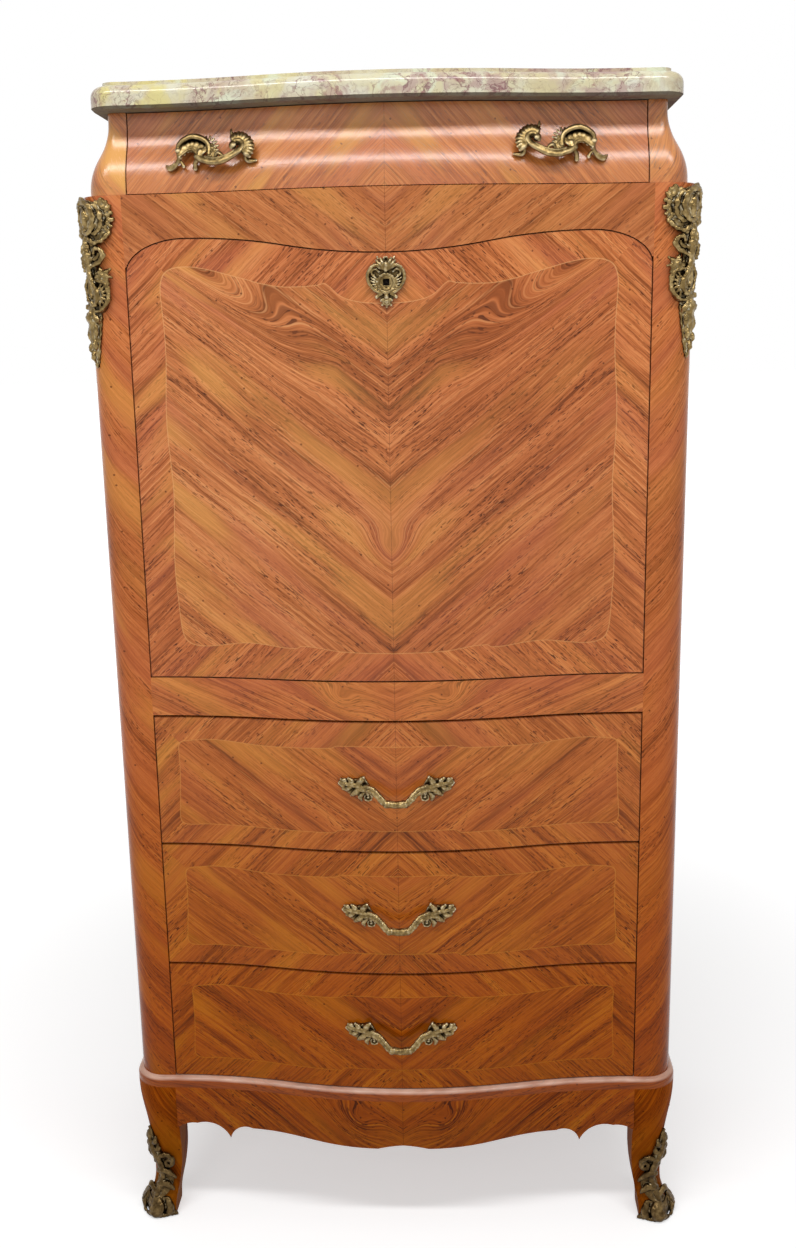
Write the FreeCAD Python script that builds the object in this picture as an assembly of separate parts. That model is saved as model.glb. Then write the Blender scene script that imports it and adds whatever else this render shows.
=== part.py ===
import FreeCAD, Part
import math
import os
from FreeCAD import Vector

# Drop-front writing cabinet: three drawers under a hinged fall, a cyma shaped drawer under a
# marble slab, cabriole legs, gilt mounts, and a nest of pigeonholes behind the fall.
# Millimetres. X runs to the viewer's right, the front faces -Y and Z is up.
# The origin is on the floor, midway across the width and the overall depth.

# Body
OPENING_WIDTH = 600.0  # between the stiles
STILE_WIDTH = 49.0
STILE_DEPTH = 45.0
STILE_RADIUS = 32.0  # rounded front corners
BODY_DEPTH = 342.0  # from the stile faces to the back
BOW = 31.0  # how far the middle of the front stands forward
BOW_TURN_SHARE = 0.5  # where the front turns from hollow to round
SIDE_THICKNESS = 20.0
BACK_THICKNESS = 10.0
BOARD_THICKNESS = 14.0
RAIL_DEPTH = 34.0

# Heights from the floor up
LEG_HEIGHT = 196.0
PLINTH_THICKNESS = 14.0
DRAWER_3_HEIGHT = 161.0
DRAWER_2_HEIGHT = 164.0
DRAWER_1_HEIGHT = 169.0
MID_RAIL_HEIGHT = 48.0
FALL_HEIGHT = 516.0  # at its two peaks
FRIEZE_RAIL_HEIGHT = 48.0  # above the peaks
FRIEZE_HEIGHT = 91.5
MARBLE_THICKNESS = 30.0

# Clearances and tolerances
SEAM = 1.2  # round the fall and each drawer front
FIRST_SEAM = 2.6  # over the first drawer
RUNNING_GAP = 0.4  # under and beside what slides
OVERRUN = 5.0  # how far cutting shapes run past what they cut
MATCH = 0.01  # how closely a corner has to lie to a plane to count as on it

# Marble slab
MARBLE_SETBACK = 17.0  # from the body's sides
MARBLE_RADIUS = 28.0
MARBLE_OVERHANG = 4.0  # in front of the stile faces
MARBLE_ROUND = 12.0
MARBLE_CHAMFER = 3.0
MARBLE_QUIRK = 2.0  # ledge between the round and the riser
MARBLE_RISER = 4.0

# Frieze: the top drawer and the cheeks beside it
FRIEZE_INSET = 6.0  # the drawer is this much narrower at each end than the opening below
FRIEZE_FRONT_SETBACK = 3.0
FRIEZE_SIDE_SETBACK = 9.0
FRIEZE_RADIUS = 26.0
NECK_RADIUS = 10.0
CYMA_DEPTH = 23.0
CYMA_START_SHARE = 0.06
CYMA_END_SHARE = 0.89
CYMA_TURN_SHARE = 0.5
CYMA_LEVELS = 12
TOP_FRONT_DEPTH = 40.0  # from the stile faces to the back of the top drawer's front
BLOCK_END_SHARES = (0.5, 0.73)  # of the half opening: where the blocks of that front meet

# Fall
FALL_THICKNESS = 20.0  # at its ends, where the bow is nothing
FALL_DIP = 21.0  # the middle of its top edge lies this much under the peaks
DIP_TURN_SHARE = 0.5
CORNER_WIDTH = 69.0
CORNER_HEIGHT = 39.0
STOP_LIP = 8.0  # the rail's lip behind the fall
STOP_GAP = 0.6
PIVOT_SETBACK = 12.0
PIVOT_RISE = 60.0
PIN_RADIUS = 4.0
PIN_CLEARANCE = 0.08
PIN_SEAT = 20.0  # length in the fall
PIN_REACH = 12.0  # length in the stile
TAIL_RISE = 20.0  # the thin tail starts this far under the pivot
FLOOR_THICKNESS = 12.0
COVE_EASE = 0.3
LEATHER_MARGIN = 50.0  # from the leather to each side of the opening
LEATHER_LENGTH = 320.0
LEATHER_THICKNESS = 1.5
LEATHER_RISE = 30.0  # from the writing space's floor to the lower edge of the leather

# Lock
LOCK_WIDTH = 70.0
LOCK_HEIGHT = 52.0
LOCK_DEPTH = 14.0
LOCK_COVER = 6.0  # wood over the lock
BOLT_WIDTH = 24.0
BOLT_THICKNESS = 7.0
BOLT_LENGTH = 30.0
BOLT_THROW = 8.0
KEYHOLE_RADIUS = 3.0
KEYHOLE_DROP = 26.0  # from the top of the lock
KEY_SLOT_WIDTH = 2.6
KEY_SLOT_DROP = 9.0
STRIKE_WIDTH = 44.0
STRIKE_THICKNESS = 2.0
STRIKE_DEPTH = 13.0
STRIKE_RECESS = 0.6
ESCUTCHEON_WIDTH = 42.0
ESCUTCHEON_HEIGHT = 56.0
ESCUTCHEON_THICKNESS = 3.0
ESCUTCHEON_RING_RADIUS = 10.0
ESCUTCHEON_BEAD_RADIUS = 2.4
ESCUTCHEON_SHARES = (
    (0.0, 1.0), (0.3, 0.93), (0.36, 0.62), (0.85, 0.52), (1.0, 0.1),
    (0.95, -0.45), (0.5, -0.62), (0.36, -0.86), (0.0, -1.0),
)

# Drawers
DRAWER_FRONT_DEPTH = 22.0  # thickness of a lower front at its ends
DRAWER_WALL = 10.0
DRAWER_BOTTOM = 6.0
BOTTOM_RISE = 6.0
HEAD_ROOM = 8.0  # over a drawer's walls
BOX_INSET = 8.0  # the lower boxes are this much narrower at each side than the opening
REAR_ROOM = 10.0
GUIDE_HEIGHT = 22.0

# Lower handles: a leaf at each end of a goose-necked grip
HANDLE_WIDTH = 140.0
HANDLE_REACH = 26.0  # from the face to the front of the grip
HANDLE_RISE = 4.0  # of the leaves over the middle of the drawer
GRIP_LENGTH = 22.0
GRIP_DROP = 17.0
NECK_SPREAD = 84.0  # between the roots of the two necks
BAR_RADIUS = 4.2
LEAF_LENGTH = 38.0
LEAF_WIDTH = 22.0
LEAF_RELIEF = 8.0
LEAF_LIFT = 8.0
LEAF_SHARES = ((0.0, 0.55, 0.8), (0.25, 0.95, 1.0), (0.55, 1.0, 0.9), (0.8, 0.6, 0.6), (1.0, 0.12, 0.2))

# Top handles: scrolled strokes in one plane, on three feet
TOP_HANDLE_WIDTH = 101.0
TOP_HANDLE_HEIGHT = 36.0
TOP_HANDLE_INSET = 99.0  # from the drawer's end to the middle of the handle
TOP_HANDLE_STANDOFF = 16.0
TOP_HANDLE_HEIGHT_SHARE = 0.49  # of the frieze, to the middle of the handle
STROKE_RADIUS = 3.8
STROKE_SHARES = (
    ((-1.0, -0.9), (-0.8, -0.45), (-0.68, 0.25)),
    ((-0.68, 0.25), (-0.4, 0.8), (-0.1, 0.3)),
    ((-0.1, 0.3), (0.16, -0.75), (0.5, -0.55)),
    ((0.5, -0.55), (0.79, -0.1), (0.9, 0.4)),
    ((0.9, 0.4), (0.7, 0.95), (0.44, 0.65)),
    ((0.44, 0.65), (0.37, 0.15), (0.53, -0.05)),
    ((0.9, 0.4), (0.98, -0.15), (1.0, -0.7)),
)
FOOT_SHARES = ((-1.0, -0.9), (0.5, -0.55), (1.0, -0.7))

# Base
PLINTH_REACH = 7.0  # past the body at the front and sides
PLINTH_ROUND = 8.0
APRON_THICKNESS = 20.0  # behind the stile faces
APRON_DROP = 72.0
APRON_SHARES = (
    (0.0, 0.875), (0.055, 0.9), (0.11, 0.95), (0.25, 0.93), (0.387, 0.86), (0.53, 0.785), (0.663, 0.77),
    (0.735, 0.81), (0.763, 1.0), (0.8, 0.8), (0.91, 0.722), (0.965, 0.745), (1.0, 0.83),
)
SIDE_APRON_THICKNESS = 22.0
SIDE_APRON_DROP = 60.0
SIDE_APRON_ARCH = 18.0
LEG_LEVELS = 14
LEG_SWING = 15.5  # of the ankle, inwards
LEG_TURN_SHARE = 0.68
LEG_TAPER = 11.0  # of the inner edge, outwards
TAPER_HEIGHT = 95.0
ANKLE_HEIGHT = 58.0
ANKLE_RADIUS = 16.0
TOE_HEIGHT = 8.0
TOE_FLARE = 9.0
TOE_TURN_SHARE = 0.6
SABOT_HEIGHT = 126.0
SABOT_SPREAD = 34.0
SABOT_RELIEF = 4.0
SABOT_SHARES = (  # height, spread, relief
    (1.0, 0.1, 0.5), (0.84, 0.32, 0.7), (0.68, 0.5, 0.8), (0.52, 0.56, 0.8), (0.36, 0.66, 0.8),
    (0.2, 0.88, 0.85), (0.08, 1.0, 1.0), (0.0, 0.97, 0.7),
)

# Corner mounts on the stiles
CHUTE_LENGTH = 190.0
CHUTE_DROP = 3.0  # under the shoulder
CHUTE_SPREAD = 23.0
CHUTE_RELIEF = 9.0
CHUTE_SHARES = (  # down the mount, spread, relief
    (0.0, 0.3, 0.4), (0.07, 0.85, 0.75), (0.16, 1.0, 1.0), (0.28, 0.72, 0.75), (0.42, 0.9, 0.95),
    (0.56, 0.62, 0.6), (0.7, 0.52, 0.6), (0.85, 0.32, 0.4), (1.0, 0.1, 0.2),
)

# Nest behind the fall
NEST_SETBACK = 150.0  # from the stile faces
NEST_WALL = 8.0
NEST_DRAWER_HEIGHT = 76.0
PIGEONHOLE_HEIGHT = 200.0
NICHE_WIDTH = 192.0
NEST_FRONT_THICKNESS = 10.0
NEST_BOX_WALL = 6.0
NEST_REAR_ROOM = 8.0
KNOB_RADIUS = 6.0
KNOB_STEM_RADIUS = 3.0
KNOB_REACH = 16.0

# Places worked out from the sizes
half_open = OPENING_WIDTH / 2
half_body = half_open + STILE_WIDTH
half_inside = half_body - SIDE_THICKNESS
half_plinth = half_body + PLINTH_REACH
half_frieze = half_open - FRIEZE_INSET
overall_depth = BODY_DEPTH + BOW + HANDLE_REACH
back = overall_depth / 2
face = back - BODY_DEPTH
back_inside = back - BACK_THICKNESS

plinth_top = LEG_HEIGHT + PLINTH_THICKNESS
drawer_2_low = plinth_top + DRAWER_3_HEIGHT
drawer_1_low = drawer_2_low + DRAWER_2_HEIGHT
mid_rail_low = drawer_1_low + DRAWER_1_HEIGHT
fall_low = mid_rail_low + MID_RAIL_HEIGHT
fall_peak = fall_low + FALL_HEIGHT
shoulder = fall_peak + FRIEZE_RAIL_HEIGHT
marble_low = shoulder + FRIEZE_HEIGHT

pivot_y = face + PIVOT_SETBACK
pivot_z = fall_low + PIVOT_RISE
floor_top = pivot_z + FALL_THICKNESS - PIVOT_SETBACK
floor_low = floor_top - FLOOR_THICKNESS
floor_front = pivot_y + math.hypot(FALL_THICKNESS - PIVOT_SETBACK, TAIL_RISE) + SEAM
ceiling = shoulder - BOARD_THICKNESS

fall_top_middle = fall_peak - FALL_DIP - SEAM
lock_top = fall_top_middle - LOCK_COVER
lock_y = face + FALL_THICKNESS - LOCK_DEPTH / 2
keyhole_z = lock_top - KEYHOLE_DROP

nest_front = face + NEST_SETBACK
nest_half = half_open - NEST_WALL
low_shelf = floor_top + NEST_DRAWER_HEIGHT
high_shelf = low_shelf + NEST_WALL + PIGEONHOLE_HEIGHT

QUARTER = math.pi / 2
DIAGONAL = math.sqrt(0.5)
UP = Vector(0, 0, 1)
ACROSS = Vector(1, 0, 0)
INWARD = Vector(0, 1, 0)
ORIGIN = Vector(0, 0, 0)


# Shared shapes

def line(start, end):
    return Part.LineSegment(start, end).toShape()


def arc(start, middle, end):
    return Part.Arc(start, middle, end).toShape()


def outline_face(edges):
    return Part.Face(Part.Wire(Part.__sortEdges__(edges)))


def box(x0, x1, y0, y1, z0, z1):
    return Part.makeBox(x1 - x0, y1 - y0, z1 - z0, Vector(x0, y0, z0))


def rod(radius, start, end):
    run = end - start
    return Part.makeCylinder(radius, run.Length, start, run)


def mirrored(shape):
    return shape.mirror(ORIGIN, ACROSS)


def fused(shapes):
    return shapes[0].multiFuse(shapes[1:]).removeSplitter()


def rim(solid, z):
    """Edges of a slab's face at height z, without the straight one along the back."""
    level = [e for e in solid.Edges if all(abs(v.Z - z) < MATCH for v in e.Vertexes)]
    return [e for e in level if not all(abs(v.Y - back) < MATCH for v in e.Vertexes)]


def ogee(run, length, rise, turn_share):
    """Height of a double curve, flat at both ends, made of two tangent arcs."""
    sweep = 2 * math.atan(rise / length)
    first = turn_share * length / math.sin(sweep)
    second = (1 - turn_share) * length / math.sin(sweep)
    if run <= turn_share * length:
        return first - math.sqrt(first ** 2 - run ** 2)
    return rise - second + math.sqrt(second ** 2 - (length - run) ** 2)


def bow(x):
    """How far the front stands forward of the stile faces at x."""
    if abs(x) >= half_open:
        return 0.0
    return BOW - ogee(abs(x), half_open, BOW, BOW_TURN_SHARE)


def front_point(x, offset, z):
    return Vector(x, face + offset - bow(x), z)


def front_edges(half, offset, z):
    """The bowed front line from -half to half, as arcs and, past the opening, straight ends."""
    turn = half_open * BOW_TURN_SHARE
    stops = sorted(s for s in {-half, -half_open, -turn, turn, half_open, half} if abs(s) <= half)
    edges = []
    for left, right in zip(stops, stops[1:]):
        start = front_point(left, offset, z)
        end = front_point(right, offset, z)
        if min(abs(left), abs(right)) >= half_open:
            edges.append(line(start, end))
        else:
            edges.append(arc(start, front_point((left + right) / 2, offset, z), end))
    return edges


def bowed_outline(half, front_offset, rear_offset, z):
    left = Vector(-half, face + rear_offset, z)
    right = Vector(half, face + rear_offset, z)
    edges = front_edges(half, front_offset, z)
    edges.append(line(front_point(half, front_offset, z), right))
    edges.append(line(right, left))
    edges.append(line(left, front_point(-half, front_offset, z)))
    return Part.Wire(edges)


def bowed_board(half, front_offset, rear_offset, low, high):
    return Part.Face(bowed_outline(half, front_offset, rear_offset, low)).extrude(UP * (high - low))


def rounded_slab(half, front_offset, radius, low, high):
    """A slab with a bowed front, two rounded front corners and a straight back."""
    straight = half - radius
    front = face + front_offset
    bend = radius * DIAGONAL
    edges = front_edges(straight, front_offset, low)
    for side in (-1, 1):
        start = Vector(side * straight, front, low)
        middle = Vector(side * (straight + bend), front + radius - bend, low)
        end = Vector(side * half, front + radius, low)
        edges.append(arc(start, middle, end))
        edges.append(line(end, Vector(side * half, back, low)))
    edges.append(line(Vector(-half, back, low), Vector(half, back, low)))
    return outline_face(edges).extrude(UP * (high - low))


def corner_outline(inner_x, outer_x, front, rear, radius, z):
    """A block's plan with its outer front corner rounded."""
    bend = radius * (1 - DIAGONAL)
    start = Vector(outer_x - radius, front, z)
    end = Vector(outer_x, front + radius, z)
    corners = [end, Vector(outer_x, rear, z), Vector(inner_x, rear, z), Vector(inner_x, front, z), start]
    edges = [arc(start, Vector(outer_x - bend, front + bend, z), end)]
    edges += [line(a, b) for a, b in zip(corners, corners[1:])]
    return Part.Wire(edges)


def corner_mount_outline(outer_x, front, radius, spread, relief, z):
    """A lens that clasps a rounded corner: spread to each side of its ridge, relief proud of it."""
    quarter_run = radius * QUARTER / 2
    angle = min(spread, quarter_run) / radius
    past = max(0.0, spread - quarter_run)
    centre_x = outer_x - radius
    centre_y = front + radius
    ends = []
    for turn in (-angle, angle):
        lean = QUARTER / 2 + turn
        x = centre_x + radius * math.sin(lean)
        y = centre_y - radius * math.cos(lean)
        ends.append(Vector(x - past, y, z) if turn < 0 else Vector(x, y + past, z))
    reach = (radius + relief) * DIAGONAL
    ridge = Vector(centre_x + reach, centre_y - reach, z)
    return Part.Wire([arc(ends[0], ridge, ends[1]), line(ends[1], ends[0])])


def notched_board(front, low, high):
    """A full-width board that passes between the two stiles at its front."""
    notch = face + STILE_DEPTH
    half_points = [(half_open, front), (half_open, notch), (half_inside, notch), (half_inside, back_inside)]
    points = half_points + [(-x, y) for x, y in reversed(half_points)]
    corners = [Vector(x, y, low) for x, y in points]
    return Part.Face(Part.makePolygon(corners + corners[:1])).extrude(UP * (high - low))


def opening_prism(inset, low):
    """The fall's outline, drawn in by inset, run from front to back."""
    half = half_open - inset
    peak_x = half_open - CORNER_WIDTH
    corner_z = fall_peak - CORNER_HEIGHT
    turn = peak_x * DIP_TURN_SHARE
    front = -overall_depth

    def top_point(x):
        rise = ogee(abs(x), peak_x, FALL_DIP, DIP_TURN_SHARE)
        return Vector(x, front, fall_peak - FALL_DIP - inset + rise)

    stops = (-peak_x, -turn, turn, peak_x)
    edges = [arc(top_point(a), top_point((a + b) / 2), top_point(b)) for a, b in zip(stops, stops[1:])]
    for side in (-1, 1):
        centre = Vector(side * peak_x, front, corner_z)
        end = centre + ACROSS * side * (CORNER_WIDTH - inset)
        ellipse = Part.Ellipse(end, centre + UP * (CORNER_HEIGHT - inset), centre)
        edges.append(Part.ArcOfEllipse(ellipse, 0, QUARTER).toShape())
        edges.append(line(end, Vector(side * half, front, low)))
    edges.append(line(Vector(-half, front, low), Vector(half, front, low)))
    return outline_face(edges).extrude(INWARD * 2 * overall_depth)


def eased(run, turn_share):
    """A share that climbs from 0 to 1 along a double curve as run goes from 0 to 1."""
    run = min(max(run, 0.0), 1.0)
    return run ** 2 / turn_share if run < turn_share else 1 - (1 - run) ** 2 / (1 - turn_share)


def cyma(height_share):
    """How far the frieze is drawn in at a share of its height, from 0 at the shoulder to 1 at the neck."""
    run = (height_share - CYMA_START_SHARE) / (CYMA_END_SHARE - CYMA_START_SHARE)
    return eased(run, CYMA_TURN_SHARE)


def even_shares(count):
    return [step / (count - 1) for step in range(count)]


# Carcass

def marble_top():
    ledge = MARBLE_THICKNESS - MARBLE_RISER
    inset = MARBLE_ROUND + MARBLE_QUIRK
    half = half_body - MARBLE_SETBACK
    slab = rounded_slab(half, -MARBLE_OVERHANG, MARBLE_RADIUS, marble_low, marble_low + ledge)
    slab = slab.makeFillet(MARBLE_ROUND, rim(slab, marble_low + ledge))
    slab = slab.makeChamfer(MARBLE_CHAMFER, rim(slab, marble_low))
    riser = rounded_slab(half - inset, inset - MARBLE_OVERHANG, MARBLE_RADIUS - inset,
                         marble_low + ledge, marble_low + MARBLE_THICKNESS)
    return slab.fuse(riser)


def top_board():
    front = face + TOP_FRONT_DEPTH + RUNNING_GAP
    return box(-half_frieze, half_frieze, front, back_inside, marble_low - BOARD_THICKNESS, marble_low)


def frieze_side():
    outlines = []
    for level in even_shares(CYMA_LEVELS):
        drawn_in = cyma(level)
        outer = half_body - FRIEZE_SIDE_SETBACK - CYMA_DEPTH * drawn_in
        front = face + FRIEZE_FRONT_SETBACK + CYMA_DEPTH * drawn_in
        radius = FRIEZE_RADIUS + (NECK_RADIUS - FRIEZE_RADIUS) * drawn_in
        z = shoulder + level * FRIEZE_HEIGHT
        outlines.append(corner_outline(half_frieze, outer, front, back, radius, z))
    return Part.makeLoft(outlines, True, False)


def stile():
    outline = corner_outline(half_open, half_body, face, face + STILE_DEPTH, STILE_RADIUS, plinth_top)
    post = Part.Face(outline).extrude(UP * (shoulder - plinth_top))
    bore_end = Vector(half_open + PIN_REACH + SEAM, pivot_y, pivot_z)
    return post.cut(rod(PIN_RADIUS + PIN_CLEARANCE, Vector(half_open - OVERRUN, pivot_y, pivot_z), bore_end))


def side_panel():
    return box(half_inside, half_body, face + STILE_DEPTH, back, plinth_top, shoulder)


def back_panel():
    half_points = [(half_inside, plinth_top), (half_inside, shoulder),
                   (half_frieze, shoulder), (half_frieze, marble_low)]
    points = half_points + [(-x, z) for x, z in reversed(half_points)]
    corners = [Vector(x, back_inside, z) for x, z in points]
    return Part.Face(Part.makePolygon(corners + corners[:1])).extrude(INWARD * BACK_THICKNESS)


def frieze_rail():
    """The fall's curved top edge is cut from it, with a stop lip left behind the fall."""
    tip = fall_peak - CORNER_HEIGHT + STOP_LIP
    rebate = FALL_THICKNESS + STOP_GAP
    rail = bowed_board(half_open, 0, rebate, tip, shoulder).cut(opening_prism(0, fall_low))
    lip = box(-half_open, half_open, face + rebate, face + RAIL_DEPTH, tip, shoulder)
    rail = fused([rail, lip.cut(opening_prism(STOP_LIP, fall_low))])
    edge = fall_peak - FALL_DIP
    plate_top = edge + STRIKE_RECESS + STRIKE_THICKNESS
    mortise = box(-STRIKE_WIDTH / 2, STRIKE_WIDTH / 2, lock_y - STRIKE_DEPTH / 2, lock_y + STRIKE_DEPTH / 2,
                  edge - OVERRUN, plate_top)
    return rail.cut(mortise).cut(bolt_way(plate_top - STRIKE_THICKNESS, edge + BOLT_THROW + STRIKE_THICKNESS))


def mid_rail():
    """Its top is hollowed by the sweep of the fall's lower edge about the pivots."""
    rail = bowed_board(half_open, 0, RAIL_DEPTH, mid_rail_low, fall_low)
    half = half_open + OVERRUN
    left = Vector(-half, pivot_y, fall_low)
    right = Vector(half, pivot_y, fall_low)
    edges = front_edges(half, -COVE_EASE, fall_low)
    edges.append(line(front_point(half, -COVE_EASE, fall_low), right))
    edges.append(line(right, left))
    edges.append(line(left, front_point(-half, -COVE_EASE, fall_low)))
    sweep = Part.Face(Part.Wire(edges)).revolve(Vector(0, pivot_y, pivot_z), ACROSS, math.degrees(QUARTER))
    return rail.cut(sweep)


def frieze_shelf():
    return notched_board(face + RAIL_DEPTH, ceiling, shoulder)


def interior_floor():
    return notched_board(floor_front, floor_low, floor_top)


def dust_boards():
    front = face + DRAWER_FRONT_DEPTH + SEAM
    levels = (mid_rail_low, drawer_1_low, drawer_2_low)
    return Part.makeCompound([notched_board(front, top - BOARD_THICKNESS, top) for top in levels])


def drawer_guides():
    inner = half_open - BOX_INSET + RUNNING_GAP
    guides = []
    for low in (drawer_1_low, drawer_2_low, plinth_top):
        guide = box(inner, half_inside, face + STILE_DEPTH, back_inside, low, low + GUIDE_HEIGHT)
        guides += [guide, mirrored(guide)]
    return Part.makeCompound(guides)


# Base

def plinth_board():
    slab = rounded_slab(half_plinth, -PLINTH_REACH, STILE_RADIUS + PLINTH_REACH, LEG_HEIGHT, plinth_top)
    return slab.makeFillet(PLINTH_ROUND, rim(slab, plinth_top))


def apron_front(leg):
    """Scalloped lower edge: each three points in a row make one arc."""
    low = LEG_HEIGHT - APRON_DROP - OVERRUN
    board = bowed_board(half_open, -PLINTH_REACH, APRON_THICKNESS, low, LEG_HEIGHT)
    points = [Vector(x * half_open, -overall_depth, LEG_HEIGHT - drop * APRON_DROP)
              for x, drop in APRON_SHARES]
    edges = [arc(*points[i:i + 3]) for i in range(0, len(points) - 2, 2)]
    edges += [mirrored(edge) for edge in edges]
    top = LEG_HEIGHT + OVERRUN
    left = Vector(-half_open, -overall_depth, top)
    right = Vector(half_open, -overall_depth, top)
    low_left = Vector(-half_open, -overall_depth, points[-1].z)
    edges += [line(points[-1], right), line(right, left), line(left, low_left)]
    apron = board.common(outline_face(edges).extrude(INWARD * 2 * overall_depth))
    return apron.cut(leg).cut(mirrored(leg))


def side_apron(front_leg_shape, rear_leg_shape):
    start = face + STILE_WIDTH
    end = back - (half_plinth - half_open)
    outer = half_plinth
    low = LEG_HEIGHT - SIDE_APRON_DROP
    crown = Vector(outer, (start + end) / 2, low + SIDE_APRON_ARCH)
    edges = [arc(Vector(outer, start, low), crown, Vector(outer, end, low))]
    corners = [Vector(outer, end, low), Vector(outer, end, LEG_HEIGHT), Vector(outer, start, LEG_HEIGHT),
               Vector(outer, start, low)]
    edges += [line(a, b) for a, b in zip(corners, corners[1:])]
    apron = Part.Face(Part.Wire(edges)).extrude(ACROSS * -SIDE_APRON_THICKNESS)
    return apron.cut(front_leg_shape).cut(rear_leg_shape)


def leg_edges(z):
    """Outer edge, inner edge and corner radius of a leg at height z."""
    knee = eased((z - ANKLE_HEIGHT) / (LEG_HEIGHT - ANKLE_HEIGHT), LEG_TURN_SHARE)
    flare = eased((ANKLE_HEIGHT - z) / (ANKLE_HEIGHT - TOE_HEIGHT), TOE_TURN_SHARE)
    taper = eased(1 - z / TAPER_HEIGHT, TOE_TURN_SHARE)
    outer = half_plinth - LEG_SWING * (1 - knee) + TOE_FLARE * flare
    radius = ANKLE_RADIUS + (STILE_RADIUS + PLINTH_REACH - ANKLE_RADIUS) * knee
    return outer, half_open + LEG_TAPER * taper, radius


def front_leg():
    outlines = []
    for level in even_shares(LEG_LEVELS):
        outer, inner, radius = leg_edges(level * LEG_HEIGHT)
        front = face - (outer - half_body)
        rear = face + half_body - inner
        outlines.append(corner_outline(inner, outer, front, rear, radius, level * LEG_HEIGHT))
    return Part.makeLoft(outlines, True, False)


def rear_leg():
    outlines = []
    for level in even_shares(LEG_LEVELS):
        z = level * LEG_HEIGHT
        outer, inner, _ = leg_edges(z)
        front = back - outer + inner
        plan = ((inner, back), (outer, back), (outer, front), (inner, front))
        corners = [Vector(x, y, z) for x, y in plan]
        outlines.append(Part.makePolygon(corners + corners[:1]))
    return Part.makeLoft(outlines, True, False)


def sabot(leg):
    outlines = []
    for height, spread, relief in SABOT_SHARES:
        z = height * SABOT_HEIGHT
        outer, _, radius = leg_edges(z)
        front = face - (outer - half_body)
        outlines.append(corner_mount_outline(outer, front, radius, spread * SABOT_SPREAD,
                                             relief * SABOT_RELIEF, z))
    return Part.makeLoft(outlines, True, False).cut(leg)


def chute(post):
    outlines = []
    for down, spread, relief in CHUTE_SHARES:
        z = shoulder - CHUTE_DROP - down * CHUTE_LENGTH
        outlines.append(corner_mount_outline(half_body, face, STILE_RADIUS, spread * CHUTE_SPREAD,
                                             relief * CHUTE_RELIEF, z))
    return Part.makeLoft(outlines, True, False).cut(post)


# Fall and lock

def bolt_way(low, high):
    """The slot that the bolt slides through."""
    half_width = BOLT_WIDTH / 2 + RUNNING_GAP
    half_thickness = BOLT_THICKNESS / 2 + RUNNING_GAP
    return box(-half_width, half_width, lock_y - half_thickness, lock_y + half_thickness, low, high)


def keyhole(front, rear):
    """A round hole over a slot, run from front to rear."""
    hole = rod(KEYHOLE_RADIUS, Vector(0, front, keyhole_z), Vector(0, rear, keyhole_z))
    slot = box(-KEY_SLOT_WIDTH / 2, KEY_SLOT_WIDTH / 2, front, rear, keyhole_z - KEY_SLOT_DROP, keyhole_z)
    return hole.fuse(slot)


def lock_block():
    half = LOCK_WIDTH / 2
    inner = face + FALL_THICKNESS
    return box(-half, half, inner - LOCK_DEPTH, inner, lock_top - LOCK_HEIGHT, lock_top)


def leather_block():
    inner = face + FALL_THICKNESS
    low = floor_top + LEATHER_RISE
    half = half_open - LEATHER_MARGIN
    return box(-half, half, inner - LEATHER_THICKNESS, inner, low, low + LEATHER_LENGTH)


def fall_panel():
    inner = face + FALL_THICKNESS
    low = fall_low + SEAM
    panel = bowed_board(half_open, 0, FALL_THICKNESS, low, fall_peak).common(opening_prism(SEAM, low))
    tail_face = inner - FLOOR_THICKNESS - RUNNING_GAP
    tail_top = pivot_z - TAIL_RISE
    rebate = box(-half_open, half_open, tail_face, inner + OVERRUN, low - OVERRUN, tail_top)
    pin_ends = fall_pivots()
    lock_space = lock_block().fuse(bolt_way(lock_top, fall_top_middle + OVERRUN))
    key_space = keyhole(face - BOW - OVERRUN, inner - LOCK_DEPTH)
    return panel.cut(rebate).cut(pin_ends).cut(leather_block()).cut(lock_space).cut(key_space)


def fall_pivots():
    start = Vector(half_open - SEAM - PIN_SEAT, pivot_y, pivot_z)
    pin = rod(PIN_RADIUS, start, Vector(half_open + PIN_REACH, pivot_y, pivot_z))
    return Part.makeCompound([pin, mirrored(pin)])


def fall_lock_case():
    bolt_space = bolt_way(fall_top_middle - BOLT_LENGTH - RUNNING_GAP * 2, lock_top)
    key_space = keyhole(face - BOW, lock_y)
    return lock_block().cut(bolt_space).cut(key_space)


def lock_bolt():
    top = fall_top_middle - RUNNING_GAP
    return box(-BOLT_WIDTH / 2, BOLT_WIDTH / 2, lock_y - BOLT_THICKNESS / 2, lock_y + BOLT_THICKNESS / 2,
               top - BOLT_LENGTH, top)


def strike_plate():
    low = fall_peak - FALL_DIP + STRIKE_RECESS
    plate = box(-STRIKE_WIDTH / 2, STRIKE_WIDTH / 2, lock_y - STRIKE_DEPTH / 2, lock_y + STRIKE_DEPTH / 2,
                low, low + STRIKE_THICKNESS)
    return plate.cut(bolt_way(low - OVERRUN, low + OVERRUN))


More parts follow.
